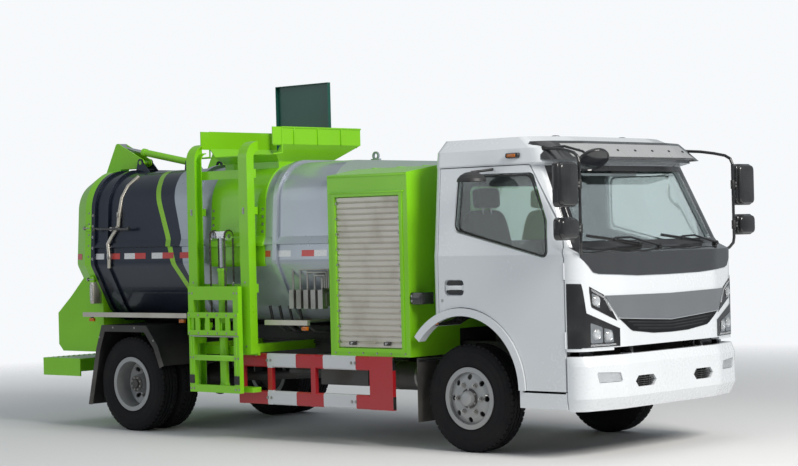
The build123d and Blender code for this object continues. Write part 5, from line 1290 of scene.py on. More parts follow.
    def mirror_shells(self, store: Finishes) -> None:
        """Rounded heads on bent arms at both front corners of the cab, and the round mirror."""
        piece = Piece("mirror_shells", Look.HOUSING, Look.SEAL, Look.SCREEN)
        piece.spin(self.round_shell, self.round_centre, self.round_aim, 48, 0)
        piece.spin(self.round_glass, self.round_centre, self.round_aim, 48, 2)
        piece.pipe([self.round_centre, *self.round_arm], 0.009, 0, 12)
        inner, outer = self.mirror_reach - self.mirror_width, self.mirror_reach
        rear, split = self.mirror_x - self.mirror_depth / 2, self.mirror_depth * 0.62
        for side in SIDES:
            arm = [(x, side * y, z) for x, y, z in self.mirror_arm]
            piece.pipe(arm, 0.0115, 0, 14)
            for x, y, z in (arm[0], arm[-1]):
                piece.rod((x - 0.004, y, z - 0.016), (x + 0.004, y, z + 0.016), 0.020, 1, 20, bevel=0.003)
            y0, y1 = sorted((side * inner, side * outer))
            for low, high in self.mirror_heads:
                for x, thick, inset, rim in ((rear, split, 0.0, 0.009),
                                             (rear + split, self.mirror_depth - split, 0.010, 0.014)):
                    corners = facing_x(x, (y0 + inset, y1 - inset), (low + inset, high - inset))
                    piece.plate(corners, (thick, 0, 0), 0, 0.040, rim)
                middle = (low + high) / 2
                piece.box((self.mirror_x - 0.014, side * (inner - self.mirror_gap), middle - 0.022),
                          (self.mirror_x + 0.014, side * (inner + 0.010), middle + 0.022), 0, 0.006)
        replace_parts(piece.done(store, "cab", "black_plastic", 50.0), "mirrors")

    def inside(self, store: Finishes) -> None:
        """Gear lever with its knob, sun shades, inner mirror, dials and the screen."""
        piece = Piece("cab_fittings", Look.DASH, Look.SEAL, Look.SCREEN, Look.MIRROR)
        piece.pipe(self.lever, 0.008, 1)
        piece.spin([(-0.03, 0.0), (-0.024, 0.020), (0.0, 0.027), (0.02, 0.022), (0.03, 0.0)], (2.395, 0.131, 1.44),
                   (0, 0, 1), 20)
        for low, high, look, bevel in self.fittings:
            piece.box(low, high, look, bevel)
        for y in (0.40, 0.52):
            piece.spin([(0.0, 0.048), (0.012, 0.048), (0.012, 0.044), (0.003, 0.042), (0.003, 0.0)],
                       (2.588, y, 1.375), (-0.9, 0, 0.35), 28, 1)
        piece.done(store, "cab", "dash_plastic")

    def build(self, store: Finishes) -> None:
        """Make every piece."""
        for make in (self.seals, self.nose, self.wiper_set, self.grille, self.lamp_lenses, self.bumper, self.visor,
                     self.mirror_shells, self.mirror_faces, self.inside):
            make(store)


@dataclass
class DoorTrim:
    """Window seal, handle recess, handle and lock of one door."""

    side: int
    skin: CabSkin = field(default_factory=CabSkin)
    window: Row = ((1.812, 1.638), (1.836, 2.059), (2.535, 2.053), (2.680, 1.700), (2.702, 1.425))
    corner: float = 0.050
    recess: tuple[float, float, float, float] = (1.720, 1.910, 1.165, 1.285)

    def border(self, inset: float) -> list[Colour]:
        """Closed outline of the window, drawn in by a distance, its corners round.

        Args:
            inset: Distance inside the window's edge.

        Returns:
            Points on the door's outer face.
        """
        x_mid = sum(x for x, _ in self.window) / len(self.window)
        z_mid = sum(z for _, z in self.window) / len(self.window)
        corners = [Vector((x - math.copysign(inset, x - x_mid), z - math.copysign(inset, z - z_mid)))
                   for x, z in self.window]
        points = []
        for before, here, after in zip(corners[-1:] + corners, corners, corners[1:] + corners[:1]):
            start = here + (before - here).normalized() * self.corner
            end = here + (after - here).normalized() * self.corner
            points += [start.lerp(here, t).lerp(here.lerp(end, t), t) for t in row(0.0, 1.0, 7)]
        return [self.skin.on_side(x, z, self.side, 0.0008) for x, z in points + points[:1]]

    def build(self, store: Finishes) -> None:
        """Make the door's pieces."""
        side, name = self.side, SIDES[self.side]
        piece = Piece(f"door_trim_{name}", Look.SEAL, Look.HOUSING, Look.CAB, Look.NUT)
        piece.ribbon(self.border(-0.010), self.border(0.022), (0, side * 0.0025, 0), 0)
        x0, x1, z0, z1 = self.recess
        lip = 0.006
        lining = facing_y(side * 0.9762, (x0 + lip, x1 - lip), (z0 + lip, z1 - lip))
        piece.plate(lining, (0, side * 0.0012, 0), 1, 0.030)
        rim = facing_y(side * 0.9995, (x0 - lip, x1 + lip), (z0 - lip, z1 + lip))
        piece.frame(rim, 0.010, (0, side * 0.0025, 0), 1, 0.038)
        piece.box((x0 + 0.018, side * 0.982, 1.208), (x1 - 0.018, side * 1.001, 1.242), 2, 0.008)
        for x in (x0 + 0.022, x1 - 0.042):
            piece.box((x, side * 0.975, 1.212), (x + 0.020, side * 0.990, 1.238), 2, 0.003)
        piece.rod((1.700, side * 0.998, 1.130), (1.700, side * 1.0035, 1.130), 0.011, 3, 20, bevel=0.001)
        piece.done(store, f"door_{name}", "black_plastic")


@dataclass
class LockerTrim:
    """Shutter guides' screws, latches, seams, gutters and the box behind the cab."""

    half: float = 1.010
    rear_x: float = 0.550
    front_x: float = 1.380
    shutter: tuple[float, float, float, float] = (0.630, 1.300, 0.760, 1.930)
    roof_ribs: tuple[float, ...] = (0.70, 0.965, 1.23)

    def build(self, store: Finishes) -> None:
        """Make both sides' details."""
        piece = Piece("locker_details", Look.GREEN, Look.NUT, Look.HOUSING, Look.SATIN)
        x0, x1, z0, z1 = self.shutter
        for side in SIDES:
            y, way = side * self.half, (0, side, 0)
            skin_y = y + side * 0.001
            for x in (x0 + 0.011, x1 - 0.011):
                piece.bolts([(x, skin_y, z) for z in row(z0 + 0.05, z1 - 0.05, 10)], way, SMALL_BOLT, 1)
            for x in (x0 + 0.155, x1 - 0.155):
                piece.box((x - 0.030, y - 0.012, z0 + 0.024), (x + 0.030, y + 0.012, z0 + 0.052), 2, 0.004)
                piece.rod((x, y, z0 + 0.038), (x, y + side * 0.019, z0 + 0.038), 0.010, 1, 16, bevel=0.001)
            grip = ((x0 + 0.27, y), (x0 + 0.27, y + side * 0.020), (x1 - 0.27, y + side * 0.020), (x1 - 0.27, y))
            piece.pipe([(x, y, z0 + 0.045) for x, y in grip], 0.005, 3, 10)
            piece.box((x0 - 0.045, y - side * 0.002, z1 + 0.022), (x1 + 0.045, y + side * 0.012, z1 + 0.034),
                      0, 0.003)
            piece.bolts([(x, skin_y, 0.725) for x in row(self.rear_x + 0.05, self.front_x - 0.05, 6)], way,
                        SMALL_BOLT, 1)
            piece.box((self.rear_x + 0.004, y, 2.080), (self.front_x - 0.004, y + side * 0.003, 2.092), 0, 0.001)
        for x in self.roof_ribs:
            piece.box((x - 0.012, -0.640, 2.153), (x + 0.012, 0.640, 2.159), 0, 0.002)
        piece.box((self.front_x - 0.001, -1.000, 1.098), (self.front_x + 0.120, -0.860, 1.190), 2, 0.010)
        piece.box((self.front_x + 0.010, -1.006, 1.115), (self.front_x + 0.105, -0.998, 1.172), 2, 0.004)
        piece.bolts([(self.front_x + 0.022, -1.0062, z) for z in (1.125, 1.162)], (0, -1, 0), SMALL_BOLT, 1)
        piece.done(store, "chassis", "green_paint")


@dataclass
class TankTrim:
    """Reflective tape, side pipe, valve handle, bolts, lifting eyes, cover and markers on the tank."""

    tapes: tuple[tuple[float, int], ...] = (
        (-2.278, 1), (-2.093, 0), (-1.896, 1), (-1.758, 0), (-1.541, 1), (-1.403, 0), (-1.185, 0), (-0.240, 0),
        (-0.012, 1), (0.250, 0), (0.388, 1))
    tape_size: tuple[float, float] = (0.138, 0.050)
    tape_z: float = 1.475
    route: tuple[Colour, ...] = (
        (-1.883, -0.830, 2.188), (-1.935, -0.912, 2.104), (-1.955, -0.967, 2.002), (-1.956, -1.004, 1.856),
        (-1.960, -1.012, 1.761), (-2.045, -1.018, 1.668), (-2.078, -1.034, 1.608), (-2.065, -1.034, 1.500),
        (-2.080, -1.024, 1.400))
    knob: Row = ((-0.02, 0.0), (-0.016, 0.014), (0.0, 0.019), (0.016, 0.014), (0.02, 0.0))
    eye: Row = ((-0.008, 0.020), (-0.008, 0.036), (0.008, 0.036), (0.008, 0.020), (-0.008, 0.020))
    cover: Row = ((0.0, 0.240), (0.030, 0.240), (0.036, 0.225), (0.050, 0.120), (0.054, 0.0))
    cover_at: tuple[float, float] = (-1.10, 0.25)
    marker_spots: Row = ((-2.320, 0.975), (-1.150, 0.975), (0.290, 0.930))
    marker_y: float = 1.030

    def side_y(self, z: float) -> float:
        """Half width of the tank at a height, between the knuckle and the roof's curve."""
        return blend_through(((1.43, 1.010), (2.23, 0.965)), z)

    def tape_set(self, store: Finishes) -> None:
        """Pairs of red and white tape under the bead on both sides."""
        piece = Piece("tank_tape", Look.TAPE_RED, Look.TAPE_WHITE)
        wide, tall = self.tape_size
        low, high = self.tape_z, self.tape_z + tall
        for side in SIDES:
            y_low, y_high = (side * (self.side_y(z) - 0.0006) for z in (low, high))
            for x, look in self.tapes:
                corners = [(x, y_low, low), (x + wide, y_low, low), (x + wide, y_high, high), (x, y_high, high)]
                piece.plate(corners, (0, side * 0.0016, 0), look)
        piece.done(store, "chassis", "bare_aluminium")

    def plumbing(self, store: Finishes) -> None:
        """Bent side pipe with its clips, T-handle and sight lamp on the right side."""
        piece = Piece("tank_plumbing", Look.SATIN, Look.NUT, Look.HOUSING, Look.LENS)
        piece.pipe(self.route, 0.017, 0, 14)
        for x, y, z in (self.route[3], self.route[7]):
            piece.box((x - 0.010, y - 0.022, z - 0.024), (x + 0.010, y + 0.060, z + 0.024), 1, 0.003)
        piece.rod((-2.012, -0.975, 1.736), (-2.012, -1.058, 1.736), 0.018, 1, 16, bevel=0.002)
        piece.rod((-2.236, -1.050, 1.742), (-1.788, -1.050, 1.730), 0.011, 2, 12, bevel=0.003)
        for x in (-2.236, -1.788):
            piece.spin(self.knob, (x, -1.050, 1.736), (1, 0, 0), 16, 2)
        piece.box((-2.385, -1.000, 1.085), (-2.335, -0.900, 1.280), 0, 0.012)
        piece.box((-2.377, -1.006, 1.110), (-2.343, -0.998, 1.255), 3, 0.006)
        piece.done(store, "chassis", "bare_aluminium")

    def seams(self, store: Finishes) -> None:
        """Bolts up the rear flange and beside the lift, lifting eyes and the round cover."""
        piece = Piece("tank_bolts", Look.NUT, Look.TANK, Look.GREEN)
        for side in SIDES:
            piece.bolts([(-2.298, side * (self.side_y(z) + 0.0225), z) for z in row(1.48, 1.86, 5)], (0, side, 0))
        for x in (-0.765, -0.185):
            piece.bolts([(x, -self.side_y(z) - 0.0125, z) for z in row(1.62, 1.86, 5)], (0, -1, 0))
        for x in (-1.75, 0.15):
            piece.box((x - 0.050, -0.012, 2.225), (x + 0.050, 0.012, 2.262), 1, 0.004)
            piece.spin(self.eye, (x, 0.0, 2.286), (0, 1, 0), 28, 1)
        x, y = self.cover_at
        piece.spin(self.cover, (x, y, 2.222), (0, 0, 1), 48, 1)
        turns = [math.tau * k / 12 for k in range(12)]
        piece.bolts([(x + 0.222 * math.cos(t), y + 0.222 * math.sin(t), 2.2575) for t in turns], (0, 0, 1))
        piece.done(store, "chassis", "tank_paint")

    def markers(self, store: Finishes) -> None:
        """Amber side markers that hang under the marker rails."""
        piece = Piece("side_markers", Look.AMBER, Look.HOUSING)
        for x, low in self.marker_spots:
            for side in SIDES:
                y = side * self.marker_y
                piece.box((x - 0.012, y - 0.010, low - 0.012), (x + 0.012, y + 0.010, low + 0.001), 1, 0.002)
                piece.box((x - 0.030, y - 0.013, low - 0.040), (x + 0.030, y + 0.013, low - 0.010), 0, 0.004)
        piece.done(store, "chassis", "lamp_lens")

    def build(self, store: Finishes) -> None:
        """Make every piece."""
        for make in (self.tape_set, self.plumbing, self.seams, self.markers):
            make(store)


@dataclass
class HopperTrim:
    """Rolled rim, stiffeners and bolts of the feed hopper, and bars, handle and seal of its lid."""

    x_range: tuple[float, float] = (-0.904, -0.050)
    y_range: tuple[float, float] = (-1.000, 0.030)
    rim_z: float = 2.516
    band_z: float = 2.380
    neck_z: float = 2.245
    neck_x: tuple[float, float] = (-0.790, -0.160)
    sill_z: float = 2.300
    lid_bars: tuple[float, float] = (2.47, 2.70)

    def build(self, store: Finishes) -> None:
        """Make the hopper's and the lid's details."""
        piece = Piece("hopper_details", Look.GREEN, Look.NUT, Look.SEAL)
        x0, x1 = self.x_range
        y0, y1 = self.y_range
        open_y = y0 + 0.104
        piece.pipe([(x, y, self.rim_z) for x, y in ((x0, open_y), (x0, y1), (x1, y1), (x1, open_y))], 0.0075, 0, 10)
        for x in (x0, x1):
            piece.pipe([(x, open_y, self.rim_z), (x, open_y, self.sill_z + 0.01), (x, y0, self.sill_z)],
                       0.0065, 0, 10)
        foot_x0, foot_x1 = self.neck_x
        for x in row(x0 + 0.16, x1 - 0.16, 3):
            foot_x = foot_x0 + (x - x0) / (x1 - x0) * (foot_x1 - foot_x0)
            piece.rod((foot_x, y1 - 0.238, self.neck_z + 0.004), (x, y1 + 0.001, self.band_z), 0.006, 0, 8)
            piece.box((x - 0.005, y1 - 0.002, self.band_z), (x + 0.005, y1 + 0.009, self.rim_z), 0, 0.001)
        for x, way in ((x0, -1), (x1, 1)):
            for y in row(y0 + 0.24, y1 - 0.24, 3):
                piece.box((x, y - 0.005, self.band_z), (x + way * 0.009, y + 0.005, self.rim_z), 0, 0.001)
        piece.bolts([(x, y1 + 0.0005, self.band_z - 0.012) for x in row(x0 + 0.05, x1 - 0.05, 9)], (0, 1, 0.5),
                    SMALL_BOLT, 1)
        piece.box((-0.905, y0 + 0.002, 2.293), (-0.049, y0 + 0.012, 2.303), 0, 0.002)
        piece.done(store, "chassis", "green_paint")
        lid = Piece("lid_details", Look.LID, Look.NUT, Look.SEAL)
        for z in self.lid_bars:
            lid.box((-0.770, -0.199, z - 0.012), (-0.180, -0.191, z + 0.012), 0, 0.003)
        for x in (-0.770, -0.192):
            lid.box((x, -0.199, 2.330), (x + 0.012, -0.190, 2.890), 0, 0.002)
        lid.bolts([(x, -0.1905, z) for x in (-0.70, -0.25) for z in self.lid_bars], (0, 1, 0), SMALL_BOLT, 1)
        lid.pipe([(x, y, 2.84) for x, y in ((-0.53, -0.191), (-0.53, -0.160), (-0.42, -0.160), (-0.42, -0.191))],
                 0.006, 1)
        lid.frame(facing_y(-0.232, (-0.782, -0.168), (2.315, 2.908)), 0.012, (0, -0.002, 0), 2, 0.01)
        lid.done(store, "hopper_lid", "lid_paint")


@dataclass
class LiftTrim:
    """Chain links, cylinder glands, hose ends, bolts and pads of the bin lift.

    A gland is its lower and upper height, its radius, its slot and its rounded rim. Hoses are
    measured from the lift's centre, their heights from the ground.
    """

    rails: Row = ((-0.930, -0.830), (-0.315, -0.215))
    face_y: float = -1.140
    back_y: float = -1.060
    centre: tuple[float, float] = (-0.5725, -1.100)
    head_z: float = 1.650
    anchor_z: float = 1.270
    carriage_z: float = 0.950
    chain_offset: float = 0.085
    sprocket_r: float = 0.0403
    chain_t: float = 0.014
    pitch: float = 0.0254
    foot_bolts: tuple[float, ...] = (0.690, 0.750, 1.195, 1.255, 2.120, 2.180)
    face_bolts: tuple[float, ...] = (0.760, 1.275, 1.850)
    hook_bolts: tuple[float, ...] = (1.835, 1.865)
    hoses: tuple[tuple[Colour, ...], ...] = (
        ((-0.030, 0.020, 0.500), (-0.060, 0.052, 0.500), (-0.060, 0.062, 0.680)),
        ((-0.030, 0.020, 1.340), (-0.062, 0.050, 1.340), (-0.062, 0.050, 1.255)))
    glands: tuple[tuple[float, float, float, int, float], ...] = (
        (1.362, 1.390, 0.042, 1, 0.003), (1.388, 1.396, 0.027, 2, 0.0), (0.430, 0.452, 0.041, 1, 0.003))
    posts: tuple[float, float] = (-0.837, -0.308)
    post_y: float = -1.2125
    post_bolts: tuple[float, ...] = (0.415, 0.665, 1.190)
    post_ribs: Row = ((0.536, 0.640), (0.692, 0.840))
    bar_z: tuple[float, float] = (0.643, 0.688)
    clamp_bolts: tuple[float, float] = (0.866, 1.012)

    def links(self, piece: Piece, spots: "list[tuple[Vector, Vector]]") -> None:
        """Plates and rollers along a run, given as points and directions."""
        across = Vector((1, 0, 0))
        half_t = self.chain_t / 2
        for index, (spot, way) in enumerate(spots):
            piece.rod(spot - across * half_t, spot + across * half_t, 0.0042, 0, 10)
            reach = half_t - (0.0012 if index % 2 else 0.0034)
            middle = spot + way * (self.pitch / 2)
            normal = across.cross(way)
            turn = Matrix((across, way, normal)).transposed().to_4x4()
            for side in (-1, 1):
                place = middle + across * side * reach
                size = Vector((0.0018, self.pitch + 0.008, 0.0105))
                piece.box(place - size / 2, place + size / 2, 0, 0.0, turn)

    def chains(self, store: Finishes) -> None:
        """Links from the anchor over the sprockets and down to the carriage."""
        x, y = self.centre
        r = self.sprocket_r + self.chain_t / 2
        back = Piece("chain_back_links", Look.CHAIN)
        front = Piece("chain_front_links", Look.CHAIN)
        for side in (-1, 1):
            cx = x + side * self.chain_offset
            count = int((self.head_z - self.anchor_z) / self.pitch)
            rise = [(Vector((cx, y + r, self.anchor_z + 0.004 + self.pitch * k)), Vector((0, 0, 1)))
                    for k in range(count)]
            spots = [Vector((cx, y + r * math.cos(t), self.head_z + r * math.sin(t))) for t in row(0.0, math.pi, 8)]
            arch = [(spot, (after - spot).normalized()) for spot, after in zip(spots, spots[1:])]
            self.links(back, rise + arch)
            count = int((self.head_z - self.carriage_z) / self.pitch)
            fall = [(Vector((cx, y - r, self.head_z - self.pitch * k)), Vector((0, 0, -1))) for k in range(count)]
            self.links(front, fall)
        back_obj, front_obj = (piece.done(store, None, "chain_steel") for piece in (back, front))
        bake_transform(back_obj)
        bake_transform(front_obj)
        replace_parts(back_obj, "lift_chains")

    def frame_details(self, store: Finishes) -> None:
        """Bolts, gussets and glands on the rails."""
        piece = Piece("lift_details", Look.NUT, Look.GREEN, Look.HOSE, Look.CHROME)
        x, y = self.centre
        for x0, x1 in self.rails:
            middle = (x0 + x1) / 2
            piece.bolts([(middle, self.back_y + 0.0225, z) for z in self.foot_bolts], (0, 1, 0))
            piece.bolts([(middle, self.face_y, z) for z in self.face_bolts], (0, -1, 0), SMALL_BOLT)
            piece.bolts([(middle, self.face_y, z) for z in self.hook_bolts], (0, -1, 0))
        for low, high, radius, look, rim in self.glands:
            piece.rod((x, y, low), (x, y, high), radius, look, 28 if rim else 24, bevel=rim)
        for hose in self.hoses:
            piece.pipe([(x + dx, y + dy, z) for dx, dy, z in hose], 0.008, 2, 12)
        for side in (-1, 1):
            cx = x + side * self.chain_offset
            piece.box((cx - 0.011, y + 0.036, 1.244), (cx + 0.011, y + 0.060, 1.276), 0, 0.003)
            piece.bolts([(cx, y + 0.0365, 1.260)], (0, -1, 0), SMALL_BOLT)
        piece.done(store, "chassis", "green_paint")
        head = Piece("crosshead_details", Look.NUT)
        for side in (-1, 1):
            cx = x + side * (self.chain_offset + 0.007)
            head.bolts([(cx, y, self.head_z)], (side, 0, 0), Bolt(0.013, 0.009, 0.018))
        head.done(store, "lift_crosshead", "rod_steel")

    def carriage(self, store: Finishes) -> None:
        """Bolts, pads and the clamp's hinge on the carriage."""
        piece = Piece("carriage_details", Look.NUT, Look.SEAL, Look.GREEN)
        y = self.post_y
        for px in self.posts:
            for dx in (-0.018, 0.018):
                piece.bolts([(px + dx, y - 0.0007, z) for z in self.post_bolts], (0, -1, 0), SMALL_BOLT)
            piece.box((px - 0.029, y - 0.008, 0.455), (px + 0.029, y, 0.525), 1, 0.004)
            for low, high in self.post_ribs:
                piece.box((px - 0.005, y - 0.0065, low), (px + 0.005, y, high), 2, 0.001)
        left, right = self.posts
        low, high = self.bar_z
        piece.box((left + 0.028, y, low), (right - 0.028, y + 0.0275, high), 2, 0.002)
        for x in row(left - 0.013, right + 0.013, 6):
            piece.bolts([(x, y - 0.0127, z) for z in self.clamp_bolts], (0, -1, 0), SMALL_BOLT)
        piece.rod((-0.860, -1.206, 0.842), (-0.285, -1.206, 0.842), 0.009, 0, 14)
        piece.done(store, "lift_carriage", "green_paint")

    def build(self, store: Finishes) -> None:
        """Make every piece."""
        self.chains(store)
        self.frame_details(store)
        self.carriage(store)


@dataclass
class GuardTrim:
    """Bolts and end caps of the side guards, lips of the mudguards and the front wheels' flaps."""

    y: float = 1.020
    front_x: float = 1.200
    rails: Row = ((0.290, 0.400), (0.590, 0.700))
    arms: tuple[float, ...] = (-0.140, 0.790)
    fender_bolts: Row = ((-2.205, 0.80), (-2.02, 0.885), (-1.74, 0.885), (-1.50, 0.78))
    fender_y: float = 1.0502
    flap: tuple[Colour, Colour] = ((1.386, 0.735, 0.205), (1.393, 0.950, 0.690))
    flap_rod: tuple[Colour, Colour] = ((1.3955, 0.385, 0.672), (1.3955, 0.945, 0.672))
    flap_bolts: tuple[float, ...] = (0.77, 0.84, 0.91)
    lip_outer: Row = (
        (-2.372, 0.210), (-2.251, 0.701), (-2.171, 0.907), (-1.589, 0.907), (-1.448, 0.741), (-1.374, 0.570))
    lip_inner: Row = (
        (-2.317, 0.210), (-2.201, 0.683), (-2.132, 0.850), (-1.615, 0.850), (-1.497, 0.711), (-1.427, 0.549))

    def build(self, store: Finishes) -> None:
        """Make the guards' and mudguards' details."""
        piece = Piece("guard_bolts", Look.NUT, Look.HOUSING, Look.FLAP)
        for side in SIDES:
            y, way = side * self.y, (0, side, 0)
            for low, high in self.rails:
                spots = [(x + dx, y, (low + high) / 2) for x in self.arms for dx in (-0.02, 0.02)]
                piece.bolts(spots, way)
                piece.box((self.front_x - 0.003, y, low + 0.006),
                          (self.front_x + 0.004, y - side * 0.033, high - 0.006), 1, 0.002)
            piece.bolts([(x, side * self.fender_y, z) for x, z in self.fender_bolts], way, SMALL_BOLT)
            outer, inner = ([(x, side * (self.fender_y - 0.0007), z) for x, z in line]
                            for line in (self.lip_outer, self.lip_inner))
            piece.ribbon(outer, inner, (0, side * 0.0012, 0), 2)
            flap, rod = ([(x, side * across, z) for x, across, z in ends] for ends in (self.flap, self.flap_rod))
            piece.box(*flap, 2, 0.002)
            piece.rod(*rod, 0.010, 1, 10)
            spots = [(self.flap[0][0] - 0.0002, side * across, 0.66) for across in self.flap_bolts]
            piece.bolts(spots, (-1, 0, 0), SMALL_BOLT)
        piece.done(store, "chassis", "guard_paint")


@dataclass
class RearTrim:
    """Step tread, and clamps, ribs, tape and drain of the tailgate."""

    step_top: float = 0.600
    tank_half: Row = ((1.20, 0.93), (1.43, 1.010), (2.23, 0.965))
    dome_x: float = -2.720
    sump: tuple[float, float] = (-2.80, 0.660)
    clamp_nut: Row = ((-0.006, 0.0), (-0.006, 0.017), (0.006, 0.017), (0.006, 0.0))
    side_tapes: tuple[tuple[Row, int], ...] = (
        (((-2.595, 0.9485), (-2.475, 0.9985)), 2), (((-2.712, 0.825), (-2.604, 0.941)), 3))
    tape_z: tuple[float, float] = (1.475, 1.525)
    drain: Row = ((0.0, 0.058), (0.012, 0.058), (0.016, 0.050), (0.016, 0.0))

    def step(self, store: Finishes) -> None:
        """Raised tread on the rear step."""
        piece = Piece("step_tread", Look.GREEN)
        for index, x in enumerate(row(-3.062, -2.925, 5)):
            odd = index % 2
            turn = Matrix.Rotation(0.8 if odd else -0.8, 4, "Z")
            for y in row(-0.940 + 0.03 * odd, 0.910 + 0.03 * odd, 32):
                low, high = self.step_top - 0.001, self.step_top + 0.0025
                piece.box((x - 0.011, y - 0.003, low), (x + 0.011, y + 0.003, high), 0, 0.0, turn)
        piece.done(store, "chassis", "green_paint")

    def gate(self, store: Finishes) -> None:
        """Screw clamps beside the seal, stiffeners, tape and a drain on the tailgate."""
        piece = Piece("tailgate_details", Look.GREEN, Look.NUT, Look.TAPE_RED, Look.TAPE_WHITE, Look.SEAL,
                      Look.SATIN)
        low, high = self.tape_z
        for side in SIDES:
            for z in (1.30, 1.75):
                y = side * (blend_through(self.tank_half, z) + 0.022)
                mid = y + side * 0.006
                piece.box((-2.385, y - side * 0.004, z - 0.026), (-2.328, y + side * 0.012, z + 0.026), 0, 0.004)
                piece.rod((-2.400, mid, z), (-2.330, mid, z), 0.0075, 1, 12)
                piece.spin(self.clamp_nut, (-2.405, mid, z), (1, 0, 0), 16, 1)
            for ((xa, ya), (xb, yb)), look in self.side_tapes:
                corners = [(xa, side * ya, low), (xb, side * yb, low), (xb, side * (yb - 0.0025), high),
                           (xa, side * (ya - 0.0025), high)]
                piece.plate(corners, (0, side * 0.0026, 0), look)
            piece.bolts([(-2.352, side * (blend_through(self.tank_half, z) + 0.0225), z)
                         for z in row(1.50, 1.88, 5)], (0, side, 0), SMALL_BOLT, 1)
        for centre in (-0.6, 0.6):
            for way in (-1, 1):
                piece.bolts([(-2.060, centre + way * 0.04988, 2.315)], (0, way, 0), Bolt(0.017, 0.006, 0.021), 1)
        x_back = self.dome_x - 0.002
        for y in row(-0.45, 0.45, 3):
            piece.rod((x_back, y, 1.25), (x_back, y, 1.95), 0.010, 0, 8)
        for z in (1.36, 1.90):
            piece.rod((x_back, -0.62, z), (x_back, 0.62, z), 0.010, 0, 8)
        for index, y in enumerate(row(-0.60, 0.45, 8)):
            piece.plate(facing_x(x_back + 0.0015, (y, y + 0.145), (1.635, 1.685)), (-0.0016, 0, 0), 2 + index % 2)
        x, z = self.sump
        piece.rod((x, 0.0, z + 0.005), (x, 0.0, z - 0.040), 0.045, 0, 24, bevel=0.004)
        piece.spin(self.drain, (x, 0.0, z - 0.035), (0, 0, -1), 28, 1)
        piece.done(store, "tailgate", "green_paint")

    def build(self, store: Finishes) -> None:
        """Make every piece."""
        self.step(store)
        self.gate(store)


@dataclass
class FrameTrim:
    """Spring bolts, rivets, air lines, tank fittings, exhaust, hoses and brake chambers under the truck.

    A line is its radius, slot and faces round it, then its points.
    """

    axles: tuple[tuple[float, float, float], ...] = ((1.880, 0.420, 0.440), (-1.820, 0.430, 0.470))
    rail_y: float = 0.380
    air_lines: tuple[tuple[float, float], ...] = ((0.765, 0.006), (0.748, 0.005))
    fuel_cap: Row = ((0.0, 0.041), (0.018, 0.041), (0.024, 0.034), (0.024, 0.0))
    lines: tuple[tuple[float, int, int, tuple[Colour, ...]], ...] = (
        (0.008, 2, 10, ((0.38, -0.62, 0.704), (0.50, -0.68, 0.712), (0.62, -0.75, 0.704))),
        (0.032, 4, 16, ((2.05, -0.275, 0.62), (1.60, -0.300, 0.52), (1.42, -0.300, 0.50))),
        (0.030, 4, 16, ((0.98, -0.300, 0.50), (0.60, -0.300, 0.50), (-0.60, -0.300, 0.50))))
    valve_hose: tuple[Colour, ...] = ((0.0, -0.930, 1.080), (0.02, -0.920, 0.960), (0.10, -0.860, 0.880),
                                      (0.16, -0.700, 0.855), (0.18, -0.420, 0.850))

    def build(self, store: Finishes) -> None:
        """Make the chassis details."""
        piece = Piece("chassis_details", Look.BLACK, Look.NUT, Look.HOSE, Look.ALUMINIUM, Look.CAST, Look.PIPES)
        for side in SIDES:
            self.rail(piece, side)
        for radius, look, sides, points in self.lines:
            piece.pipe(points, radius, look, sides)
        piece.rod((1.42, -0.300, 0.50), (0.98, -0.300, 0.50), 0.085, 4, 32, bevel=0.012)
        for x in (-0.02, 0.44):
            piece.bolts([(x, 0.9005, 0.555)], (0, 1, 0))
        piece.spin(self.fuel_cap, (0.460, 0.800, 0.733), (0, 0, 1), 28)
        for x in (0.38, 0.62):
            for y in (-0.62, -0.75):
                piece.rod((x, y, 0.688), (x, y, 0.708), 0.014, 1, 14)
        for x in (0.88, 1.12):
            piece.spin([(-0.010, 0.1115), (0.010, 0.1115)], (x, -0.560, 0.520), (1, 0, 0), 32, 1)
        self.valve_bank(piece)
        piece.done(store, "chassis", "chassis_paint")

    def rail(self, piece: Piece, side: int) -> None:
        """Spring bolts, rivets, air lines and the brake chamber along one side member."""
        for x, y, z in self.axles:
            for dx in (-0.052, 0.052):
                loop = ((y - 0.043, z - 0.13), (y - 0.043, z + 0.085), (y + 0.043, z + 0.085), (y + 0.043, z - 0.13))
                piece.pipe([(x + dx, side * across, up) for across, up in loop], 0.008, 1, 10)
        rear_axle = self.axles[1][0]
        spots = [(x, side * self.rail_y, z) for x in row(-2.18, 1.10, 16) for z in (0.635, 0.745)
                 if abs(x - rear_axle) > 0.10]
        piece.bolts(spots, (0, side, 0), SMALL_BOLT)
        for z, radius in self.air_lines:
            piece.rod((-2.25, side * 0.392, z), (1.15, side * 0.392, z), radius, 2, 8)
        piece.rod((-1.995, side * 0.52, 0.470), (-2.130, side * 0.52, 0.490), 0.072, 4, 28, bevel=0.006)
        piece.rod((-1.93, side * 0.52, 0.460), (-2.00, side * 0.52, 0.471), 0.012, 1, 12)

    def valve_bank(self, piece: Piece) -> None:
        """Nested pipes over the valves and the hoses that leave them below."""
        for index in range(5):
            x, top, end = 0.115 + 0.080 * index, 1.395 - 0.024 * index, 0.530 - 0.022 * index
            if end > x:
                piece.pipe([(x, -0.975, 1.285), (x, -0.975, top), (end, -0.975, top), (end, -0.975, 1.230),
                            (end, -0.900, 1.190)], 0.0085, 5, 12)
        for index in range(4):
            piece.pipe([(-0.20 + 0.11 * index + dx, y, z) for dx, y, z in self.valve_hose], 0.012, 2, 12)


